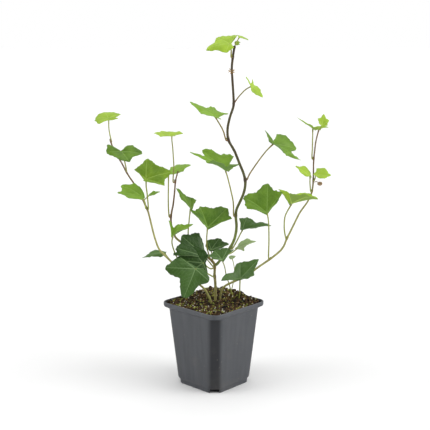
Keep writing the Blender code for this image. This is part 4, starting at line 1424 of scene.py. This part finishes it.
LEAVES = [
    Leaf("leaf_top", "shoot_centre",
         [(9, 14, 9), (-15, 12, 6), (-27, -6, -7), (-4, -8, -10), (5, -5, -4)],
         [(2, 0, -15), (2, 0, -7)],
         dips=(0.95, 0.72, 0.75, 0.85), dome=0.12, heel=0.12, age=Age.YOUNG, tint=0.75, stalk_brown=0.5),
    Leaf("leaf_tip_bud", "shoot_centre",
         [(4, 3, 0), (1, 3, 2), (-3, 0, 0), (-1, -3, -3), (3, -3, -2)],
         [(-1.5, -1, -2.5)], age=Age.YOUNG, tint=0.8),
    Leaf("leaf_tip_small", "shoot_centre",
         [(-2, -4, -1), (3, -4, -2), (10, 0, -4), (4, 4, 0), (-4, 2, 1)],
         [(-5.5, -3, -10), (-3.5, -2, -6)], dips=(0.8, 0.9, 0.9, 0.5), heel=0.12, age=Age.YOUNG, tint=0.8),
    Leaf("leaf_upper_right", "shoot_centre",
         [(-7, -4, 11), (1, -7, -7), (13, -2, -13), (9, 8, -3), (1, 7, 8)],
         [(-20, -1, -20), (-14, 0, -11), (-7, 0, -4)],
         dips=(0.4, 0.9, 0.85, 0.5), age=Age.YOUNG, tint=0.75, stalk_brown=0.55),
    Leaf("leaf_upper_left", "shoot_centre",
         [(16, 12, 3), (-3, 16, 10), (-30, 2, 16), (-16, -10, 5), (7, -8, -2)],
         [(12.5, -1, -27), (9, 0, -16), (4, 0, -7)],
         dips=(0.7, 0.62, 0.75, 0.35), tint=0.95, stalk_brown=0.75),
    Leaf("leaf_right_fold", "shoot_centre",
         [(-11, -7, 17), (12, -9, -10), (32, -2, -18), (27, 10, -8), (5, 12, 11)],
         [(-30, 2, -42), (-27, 1, -35), (-17, 1, -20), (-8, 0, -8)],
         dips=(0.2, 0.8, 0.72, 0.98), point=0.05, tint=0.5, stalk_brown=0.75),
    Leaf("leaf_centre_fold", "shoot_centre",
         [(10, 12, 16), (-27, 12, 20), (-42, -2, 24), (-21, -11, 11), (16, -8, 8)],
         [(9.5, 2, -53), (9, 3, -38), (6, 2, -23), (2, 1, -7)],
         dips=(0.82, 0.72, 0.72, 0.2), point=0.1, tint=0.8, stalk_brown=0.35),
    Leaf("leaf_dark_right", "shoot_centre",
         [(4, -8, 3), (16, -6, 5), (34, 2, 5), (6, 12, 14), (-4, 8, 13)],
         [(-12, -3, -22), (-7, -1, -14), (-3, 0, -6)],
         dips=(0.85, 0.8, 0.7, 0.95), point=0.1, age=Age.DARK, tint=1.0),
    Leaf("leaf_pale_right", "shoot_centre",
         [(8, -6, -2), (11, -4, 5), (23, 2, 8), (12, 6, 11), (3, 4, 5)],
         [(-11.5, -10, -5), (-6, -5, -4)], dips=(0.8, 0.8, 0.9, 0.9), age=Age.PALE, tint=0.8),
    Leaf("leaf_flat_top", "shoot_left_inner",
         [(13, 6, 2), (-15, 13, 3), (-21, -2, 3), (-13, -13, 0), (5, -11, 0)],
         [(1, -3, -54), (2, -1, -38), (1, 0, -17), (0, 0, -6)],
         dips=(0.8, 0.85, 0.9, 0.5), dome=0.03, heel=0.12, age=Age.YOUNG, tint=1.0, stalk_brown=0.35),
    Leaf("leaf_inner_edge", "shoot_left_inner",
         [(3, -8, -2), (17, -9, 2), (27, 2, 9), (10, 14, 8), (3, 8, 4)],
         [(1, -13, -51), (0, -10, -36), (0, -4, -18)],
         dips=(0.85, 0.85, 0.85, 0.85), tint=1.0, stalk_brown=0.3),
    Leaf("leaf_mid_small", "shoot_left_inner",
         [(7, 9, 9), (-1, 9, 13), (-17, 0, 25), (-11, -6, 13), (-3, -6, 5)],
         [(2, -1, -43), (-3, 1, -32), (-2, 1, -15)], dips=(0.98, 0.72, 0.85, 0.85), point=0.05, tint=0.3),
    Leaf("leaf_mid_wide", "shoot_left_inner",
         [(29, 8, 9), (23, 16, 20), (-9, 8, 23), (-19, -4, 21), (-5, -8, 6)],
         [(2, 5, -36), (-1, 4, -24), (-1, 2, -12)],
         dips=(0.92, 0.8, 0.9, 0.88), point=0.2, tint=0.15, stalk_brown=0.3),
    Leaf("leaf_dark_top", "shoot_left_inner",
         [(-2, 10, 15), (-8, 12, 27), (-28, 4, 24), (-34, -6, 12), (-38, -12, 5)],
         [(9, 8, -13), (5, 4, -7)],
         dips=(0.97, 0.93, 0.9, 0.93), point=0.05, tip=0.1, age=Age.DARK, tint=0.05),
    Leaf("leaf_dark_top", "shoot_left_inner",
         [(6, 2, 9), (-16, 4, 17), (-34, -2, 4), (-20, -6, -12), (5, -3, -13)],
         [(9, 8, -9), (5, 4, -6)],
         dips=(0.9, 0.85, 0.85, 0.9), point=0.1, tip=0.2, heel=0.12, shift=(-2, -4, -6), age=Age.DARK,
         tint=0.05),
    Leaf("leaf_dark_middle", "shoot_left_inner",
         [(12, -2, 2), (21, 4, 6), (10, 10, 12), (-4, 8, 10), (-7, 2, 4)],
         [(2, -3, -13), (1, 0, -7)],
         dips=(0.88, 0.88, 0.88, 0.88), point=0.1, tip=0.1, heel=0.12, age=Age.DARK, tint=0.4),
    Leaf("leaf_dark_front", "shoot_left_inner",
         [(-17, 2, 13), (-34, -6, 3), (-13, -12, -31), (16, -6, -13), (9, 4, 0)],
         [(21, 28, -17), (14, 20, -11), (6, 9, -4)],
         dips=(0.98, 0.62, 0.68, 0.9), dome=0.08, point=0.0, tip=0.15, heel=0.05, age=Age.DARK, tint=0.5),
    Leaf("leaf_far_left_top", "shoot_left_outer",
         [(13, 8, 3), (-7, 14, 6), (-16, 0, -2), (-9, -14, -5), (12, -12, 1)],
         [(2.5, 1.5, -26), (1, 0.5, -19), (0, 0, -11)],
         dips=(0.95, 0.95, 0.9, 0.55), dome=0.22, heel=0.05, notch=0.4, age=Age.YOUNG, tint=0.6),
    Leaf("leaf_far_left", "shoot_left_outer",
         [(-15, 4, 8), (-16, -6, 0), (10, -18, -9), (23, -8, -1), (6, 6, 7)],
         [(4, 10, -23), (3, 6, -14), (1, 3, -5)],
         dips=(0.97, 0.8, 0.78, 0.85), point=0.1, heel=0.12, tint=0.2, stalk_brown=0.4),
    Leaf("leaf_left_star", "shoot_left_outer",
         [(-3, -6, 0), (21, -10, -5), (29, 0, 9), (0, 16, 21), (-14, 10, 9)],
         [(2, 1, -34), (1, 2, -19), (0, 0, -8)],
         dips=(0.75, 0.82, 0.7, 0.85), dome=0.08, age=Age.YOUNG, tint=0.1),
    Leaf("leaf_left_tiny", "shoot_left_outer",
         [(1, -3, 1), (6, -4, 2), (13, 0, 5), (5, 4, 5), (0, 3, 1)],
         [(-5, -2, -4.5), (-3, -1, -3)], dips=(0.8, 0.8, 0.8, 0.8), tint=0.8),
    Leaf("leaf_left_low", "shoot_left_outer",
         [(-4, 10, 11), (-25, 10, 12), (-28, 0, 5), (-16, -12, 2), (-1, -8, -1)],
         [(2, 12, -14), (2, 6, -7)],
         dips=(0.95, 0.88, 0.85, 0.75), dome=0.15, point=0.1, heel=0.2, tint=0.65),
    Leaf("leaf_cup", "shoot_left_outer",
         [(6, -7, 7), (17, -6, 10), (24, 2, 14), (6, 7, 13), (-5, 3, 19)],
         [(17, -12, -43), (9, -8, -32), (2, -4, -18), (-1, -1, -8)], dips=(0.9, 0.9, 0.85, 0.6), tint=1.0),
    Leaf("leaf_left_blade", "shoot_left_outer",
         [(1, 5, -1), (-12, 7, 1), (-26, 0, -6), (-14, -5, -4), (-1, -4, -3)],
         [(10, -3, -13), (6, -1, -9), (2, 0, -4)], age=Age.DARK, tint=1.0),
    Leaf("leaf_right_tip", "shoot_right",
         [(6, 0, 0), (8, 2, 6), (2, 6, 13), (-5, 2, 8), (-4, -1, 2)],
         [(-3, 0, -4)], dips=(0.8, 0.8, 0.8, 0.8), heel=0.12, age=Age.YOUNG, tint=0.8),
    Leaf("leaf_right_top", "shoot_right",
         [(19, 9, 0), (-5, 6, 5), (-18, 0, 13), (-10, -4, 6), (9, -6, -1)],
         [(0, 3, -35), (0, 2, -22), (0, 1, -10)],
         dips=(0.25, 0.6, 0.6, 0.25), age=Age.YOUNG, tint=0.6, stalk_brown=0.2),
    Leaf("leaf_right_pair_left", "shoot_right",
         [(1, 4, 3), (-8, 6, 12), (-18, 0, 12), (-13, -6, 6), (-4, -5, 0)],
         [(1, 1, -18), (0, 1, -9)], dips=(0.88, 0.88, 0.88, 0.88), age=Age.YOUNG, tint=0.8),
    Leaf("leaf_right_pair_right", "shoot_right",
         [(2, -6, -3), (11, -7, -3), (18, -2, -1), (12, 8, 7), (2, 8, 6)],
         [(-1, 3, -7), (0, 1, -3)], age=Age.YOUNG, tint=0.8),
    Leaf("leaf_right_boat", "shoot_right",
         [(-4, -8, 13), (21, -10, 11), (31, -2, 6), (18, 7, 12), (-15, 12, 16)],
         [(-6, 2, -41), (-8, 1, -29), (-7, 0, -14)],
         dips=(0.75, 1.0, 0.95, 0.35), age=Age.YOUNG, tint=0.75),
    Leaf("leaf_right_big", "shoot_right",
         [(11, 0, 11), (18, 6, 23), (1, 14, 32), (-27, 6, 18), (-23, -6, 6)],
         [(3, 10, -56), (3, 6, -34), (2, 2, -11)],
         dips=(0.92, 0.85, 0.82, 0.97), dome=0.12, point=0.15, notch=0.03, tint=0.3),
    Leaf("leaf_low_right", "shoot_right",
         [(8, -8, 2), (16, -4, 5), (22, 8, 21), (0, 8, 18), (-22, -12, 0)],
         [(-2, 29, -46), (-1, 24, -33), (0, 19, -23), (0, 10, -11)],
         dips=(0.9, 0.75, 0.85, 0.5), point=0.15, age=Age.DARK, tint=0.75),
    Leaf("leaf_gloss", "shoot_right",
         [(14, 6, 11), (7, 8, 12), (-9, 4, 10), (-16, -4, 6), (-10, -8, 3)],
         [(17, 34, -68), (14, 30, -55), (11, 26, -45), (8, 20, -33), (5, 14, -23), (3, 6, -10)],
         point=0.1, age=Age.DARK, tint=0.7),
    Leaf("leaf_pale_tiny", "shoot_right",
         [(5, 3, 1), (0, 3, 2), (-4, 0, 1), (-2, -3, -1), (1, -3, -1)],
         [(-3, 8, -63), (-2, 4, -49), (2, 0, -29), (3, -1, -17), (2, 0, -8)],
         heel=0.12, age=Age.PALE, tint=0.5),
]


# ---- small growths on the stems ----

@dataclass
class WitheredBud:
    """A dry flower bud on a bent stalk: a wrinkled ball with a ring of shrivelled tips. Sizes in mm."""

    node: str = "withered_bud"
    radius: float = 2.9
    rows: int = 14
    sides: int = 22
    stalk_radius: float = 0.5
    stalk_arch: float = 1.2
    finish: EarthFinish = EarthFinish("dry_bud", "#7a5f45", "#c4ab88", 1.0, 0.85)

    def build(self) -> None:
        """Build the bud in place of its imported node."""
        low, high = [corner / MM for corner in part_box(self.node)]
        root, middle = self.ends()
        points = []
        for k in range(1, self.rows):
            tilt = math.pi * k / self.rows
            squash = 0.98 if k < self.rows - 2 else 0.8  # the top is sunk
            height = -math.cos(tilt) * (high.z - low.z) / 2 * squash
            for i in range(self.sides):
                angle = 2 * math.pi * i / self.sides
                around = Vector((math.cos(angle), math.sin(angle), math.cos(tilt)))
                wrinkles = 0.10 * math.cos(5 * angle) * math.sin(tilt) + 0.16 * noise.noise(around * 2.4)
                reach = self.radius * math.sin(tilt) * (1 + wrinkles)
                points.append(middle + Vector((reach * around.x, reach * around.y, height)))
        faces = ring_faces(self.rows - 1, self.sides)
        faces.append(tuple(reversed(range(self.sides))))
        faces.append(tuple(range(len(points) - self.sides, len(points))))
        curve = smooth_curve([root, root.lerp(middle, 0.4) + Vector((0, 0, self.stalk_arch)), middle], 6)
        stalk_points, stalk_faces = tube(curve, [self.stalk_radius] * len(curve), 8)
        faces = appended(faces, stalk_faces, len(points))
        points += stalk_points
        tone = [0.4 + 0.5 * noise.noise(p / 1.6) for p in points]
        bud = piece_from("dry_flower_bud", points, faces, [self.finish.material()], {"tone": tone},
                         crease=180)
        settle(bud, "dry_bud", self.node)

    def ends(self) -> tuple:
        """Where the bud stands, from the frame: its ball is the end that lies further out.

        Returns:
            The stalk's root and the middle of the ball.
        """
        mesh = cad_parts[self.node].data
        spots = [v.co / MM for v in mesh.vertices]
        out = PLANT_TURN @ Vector((1, -0.6, 0))
        spots.sort(key=lambda p: p.dot(out))
        ball = [p for p in spots if p.dot(out) > spots[-1].dot(out) - 5.2]
        low = Vector([min(p[k] for p in ball) for k in range(3)])
        high = Vector([max(p[k] for p in ball) for k in range(3)])
        return spots[0].copy(), (low + high) / 2


@dataclass
class StemGrowths:
    """Small growths on the stems: a bud in each leaf's axil, and a tuft of rootlets. Sizes in mm."""

    bud_size: tuple = (0.55, 0.55, 1.15)
    bud_off: float = 1.7  # out from the stem's middle line
    bud_up: float = 1.5
    rootlet_place: tuple = (21.0, 12.0, 370.0)  # along the plant's axes
    rootlet_radius: float = 0.75
    rootlets: int = 16

    def bud_tree(self) -> bpy.types.NodeTree:
        """A tree that puts a slim bud on each of the carrier's points, turned by their aim.

        Returns:
            The tree.
        """
        tree, given, end = named_tree("axil_buds", {"Size": "Vector", "Seed": "Int", "Surface": "Material"})
        ball = add_node(tree, "GeometryNodeMeshUVSphere", {"Segments": 8, "Rings": 6, "Radius": MM})
        aim = add_node(tree, "GeometryNodeInputNamedAttribute", {"Name": "aim"}, data_type="FLOAT_VECTOR")
        turn = add_node(tree, "FunctionNodeAlignRotationToVector", {"Vector": aim.outputs[0]}, axis="Z")
        vary = add_node(tree, "FunctionNodeRandomValue", {2: 0.75, 3: 1.25, "Seed": given["Seed"]},
                        data_type="FLOAT")
        size = add_node(tree, "ShaderNodeVectorMath", {0: given["Size"], "Scale": vary.outputs[1]},
                        operation="SCALE")
        placed = add_node(tree, "GeometryNodeInstanceOnPoints",
                          {"Points": given["Geometry"], "Instance": ball.outputs["Mesh"],
                           "Rotation": turn.outputs[0], "Scale": size.outputs[0]})
        real = add_node(tree, "GeometryNodeRealizeInstances", {"Geometry": placed.outputs[0]})
        dressed = add_node(tree, "GeometryNodeSetMaterial", {"Geometry": real.outputs[0],
                                                             "Material": given["Surface"]})
        tree.links.new(dressed.outputs[0], end.inputs[0])
        return tree

    def carrier(self, name: str, spots: list, aims: list) -> bpy.types.Object:
        """Loose points that each hold a direction.

        Args:
            name: the object's name.
            spots: the points.
            aims: their directions.

        Returns:
            The object.
        """
        mesh = bpy.data.meshes.new(name)
        mesh.from_pydata([p * MM for p in spots], [], [])
        layer = mesh.attributes.new("aim", "FLOAT_VECTOR", "POINT")
        layer.data.foreach_set("vector", [c for aim in aims for c in aim])
        made = bpy.data.objects.new(name, mesh)
        bpy.context.scene.collection.objects.link(made)
        return made

    def build(self, shoots: dict, leaves: list) -> None:
        """Build the buds and the rootlets.

        Args:
            shoots: each shoot by its node's name, and the soil's height under "soil".
            leaves: the leaves, in whose axils the buds sit.
        """
        bud = BarkFinish("axil_bud", "#7d8f3f", "#6b5330").material()
        spots, aims = [], []
        for leaf in leaves:
            curve = leaf.stalk_curve(shoots)
            if curve[0].z <= shoots["soil"]:
                continue
            shoot = shoots[leaf.shoot]
            spot, k = nearest_place(curve[0], shoot.line)
            along = (shoot.line[k + 1] - shoot.line[k]).normalized()
            out = curve[min(6, len(curve) - 1)] - spot
            side = (out - along * out.dot(along)).normalized()
            spots.append(spot + side * self.bud_off + along * self.bud_up)
            aims.append((along + side * 0.5).normalized())
        holder = self.carrier("axil_points", spots, aims)
        buds = grow(self.bud_tree(), holder, "axil_buds", {"Size": self.bud_size, "Seed": 4, "Surface": bud})
        bpy.data.objects.remove(holder, do_unlink=True)
        settle(buds, "stem_bark")
        self.build_rootlets(shoots)

    def build_rootlets(self, shoots: dict) -> None:
        """Build a tuft of short tan rootlets and scales round the tall stem.

        Args:
            shoots: each shoot by its node's name.
        """
        middle, _ = nearest_place(PLANT_TURN @ Vector(self.rootlet_place), shoots["shoot_centre"].line)
        points, faces = [], []
        for n in range(self.rootlets):
            turn = n * GOLDEN_ANGLE
            out = Vector((math.cos(turn), math.sin(turn), 0))
            start = middle + Vector((0, 0, (n % 5) * 0.9 - 2.0))
            length = 2.0 + 1.7 * ((n * 7) % 5) / 4
            bend = Vector((0, 0, 0.8 - 0.5 * (n % 4)))
            curve = smooth_curve([start, start + out * (0.8 + length / 2) + bend * 0.4,
                                  start + out * (0.8 + length) + bend * 1.6], 4)
            radii = [self.rootlet_radius * (1 - 0.7 * i / (len(curve) - 1)) for i in range(len(curve))]
            more, more_faces = tube(curve, radii, 6)
            faces = appended(faces, more_faces, len(points))
            points += more
        finish = BarkFinish("rootlets", "#b08a42", "#7d5a2a")
        tuft = piece_from("clinging_rootlets", points, faces, [finish.material()],
                          {"brown": [0.25] * len(points)}, crease=180)
        settle(tuft, "stem_bark")


# ---- studio ----

@dataclass
class Studio:
    """A pale floor, a white surround and soft lights, with the camera on the plant's front.

    Sizes in metres, and the lens and its sensor in mm.
    """

    camera_place: tuple = (0.0016, -1.0235, 0.4031)  # along the plant's axes
    camera_drop: float = 11.0  # degrees below level
    lens: float = 74.7
    sensor_width: float = 36.0
    floor_radius: float = 60.0
    floor_sides: int = 96
    ambient: float = 0.52  # from the sides, the back and above
    front: float = 0.12  # from the side that the camera is on
    ceiling: float = 1.5
    left_bank: float = 1.4
    right_bank: float = 1.9

    def build(self) -> None:
        """Build the floor, the lights and the camera."""
        self.floor()
        self.surround()
        self.far_light("ceiling", (0.1, -0.05, 1.0), 100, self.ceiling)
        self.far_light("left_bank", (-1.3, -0.3, 0.55), 45, self.left_bank)
        self.far_light("right_bank", (1.3, -0.3, 0.5), 45, self.right_bank)
        self.camera()

    def floor(self) -> None:
        """A round pale floor, larger than any view takes in."""
        made, tree = new_material("pale_floor")
        place = add_node(tree, "ShaderNodeTexCoord").outputs["Object"]
        clouds = add_node(tree, "ShaderNodeTexNoise", {"Vector": place, "Scale": 0.8})
        colour = add_node(tree, "ShaderNodeMix",
                          {0: clouds.outputs[0], 6: linear("#ebebeb"), 7: linear("#efefef")},
                          data_type="RGBA").outputs[2]
        fine = add_node(tree, "ShaderNodeTexNoise", {"Vector": place, "Scale": 900.0})
        bump = add_node(tree, "ShaderNodeBump",
                        {"Height": fine.outputs[0], "Strength": 0.02, "Distance": 0.2 * MM})
        finish_surface(tree, colour, 0.9, bump.outputs[0], Specular_IOR_Level=0.1)
        around = [2 * math.pi * k / self.floor_sides for k in range(self.floor_sides)]
        rim = [Vector((math.cos(a), math.sin(a), 0)) * self.floor_radius / MM for a in around]
        floor = piece_from("floor", rim, [tuple(range(self.floor_sides))], [made])

    def surround(self) -> None:
        """A white surround, held back as a light so that the lamps shape the plant."""
        world = bpy.data.worlds.new("white_surround")
        bpy.context.scene.world = world
        world.use_nodes = True
        tree = world.node_tree
        tree.nodes.clear()
        seen = add_node(tree, "ShaderNodeLightPath").outputs["Is Camera Ray"]
        place = add_node(tree, "ShaderNodeTexCoord").outputs["Generated"]
        ahead = add_node(tree, "ShaderNodeVectorMath", {0: place, 1: PLANT_TURN @ Vector((0, -1, 0))},
                         operation="DOT_PRODUCT").outputs["Value"]
        given = add_node(tree, "ShaderNodeMapRange",
                         {"Value": ahead, 1: 0.1, 2: 0.85, 3: self.ambient, 4: self.front},
                         interpolation_type="SMOOTHSTEP").outputs[0]
        strength = add_node(tree, "ShaderNodeMix", {0: seen, 2: given, 3: 1.0}).outputs[0]
        glow = add_node(tree, "ShaderNodeBackground", {"Color": linear("#ffffff"), "Strength": strength})
        add_node(tree, "ShaderNodeOutputWorld", {"Surface": glow.outputs[0]})

    def far_light(self, name: str, place: tuple, width: float, strength: float) -> None:
        """A wide, soft light that is the same all over the floor.

        Args:
            name: the light's name.
            place: the direction it stands in, along the plant's axes.
            width: the angle that it fills, in degrees.
            strength: its strength in watts for each square metre.
        """
        light = bpy.data.lights.new(name, "SUN")
        light.energy = strength
        light.angle = math.radians(width)
        made = bpy.data.objects.new(name, light)
        bpy.context.scene.collection.objects.link(made)
        made.rotation_euler = (PLANT_TURN @ -Vector(place)).to_track_quat("-Z", "Y").to_euler()

    def camera(self) -> None:
        """The camera, level across and looking slightly down."""
        lens = bpy.data.cameras.new("camera")
        lens.lens = self.lens
        lens.sensor_width = self.sensor_width
        lens.clip_end = 50.0
        made = bpy.data.objects.new("camera", lens)
        bpy.context.scene.collection.objects.link(made)
        made.location = PLANT_TURN @ Vector(self.camera_place)
        drop = math.radians(self.camera_drop)
        ahead = PLANT_TURN @ Vector((0, math.cos(drop), -math.sin(drop)))
        made.rotation_euler = ahead.to_track_quat("-Z", "Y").to_euler()
        bpy.context.scene.camera = made
        bpy.context.scene.view_settings.view_transform = "Standard"


def main() -> None:
    """Build the studio, the pot, the soil and the plant."""
    logging.basicConfig(level=logging.INFO, format="%(name)s %(message)s")
    Studio().build()
    pot = NurseryPot()
    pot.build()
    soil = PottingSoil()
    soil.build(pot)

    tan = ("#a2a25c", "#6a4a2f")
    shoots = {shoot.node: shoot for shoot in (
        Shoot("shoot_left_inner", "inner_left_stem", (1.8, 0.85),
              ((0, 0.35), (0.4, 0.35), (0.62, 0.5), (0.72, 0.9), (1, 0.85)), BarkFinish("inner_left", *tan)),
        Shoot("shoot_centre", "tall_stem", (1.75, 1.3),
              ((0, 0.05), (0.12, 0.15), (0.2, 0.42), (0.35, 0.65), (0.5, 0.85), (1, 1.0)),
              BarkFinish("tall", "#758736", "#402e1b"), root_on="shoot_left_inner"),
        Shoot("shoot_left_outer", "outer_left_stem", (1.4, 0.8),
              ((0, 0.3), (0.08, 0.1), (0.55, 0.15), (0.7, 0.75), (0.9, 0.95), (1, 0.5)),
              BarkFinish("outer_left", *tan)),
        Shoot("shoot_right", "right_stem", (1.4, 0.8),
              ((0, 0.35), (0.1, 0.3), (0.2, 0.08), (0.5, 0.1), (0.68, 0.45), (0.8, 0.95), (1, 0.8)),
              BarkFinish("right", *tan)),
    )}
    stems = list(shoots.values())
    for shoot in stems:
        if shoot.root_on:
            shoot.fork(shoots[shoot.root_on])
    shoots["soil"] = soil.edge
    stalk = BarkFinish("leaf_stalk", "#97a248", "#7d5733").material()
    blades = {age: finish.material() for age, finish in LEAF_FINISHES.items()}
    for leaf in LEAVES:
        leaf.build(shoots, blades[leaf.age], stalk)
    for shoot in stems:
        shoot.build()
    WitheredBud().build()
    StemGrowths().build(shoots, LEAVES)

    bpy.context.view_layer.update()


if __name__ == "__main__":
    main()
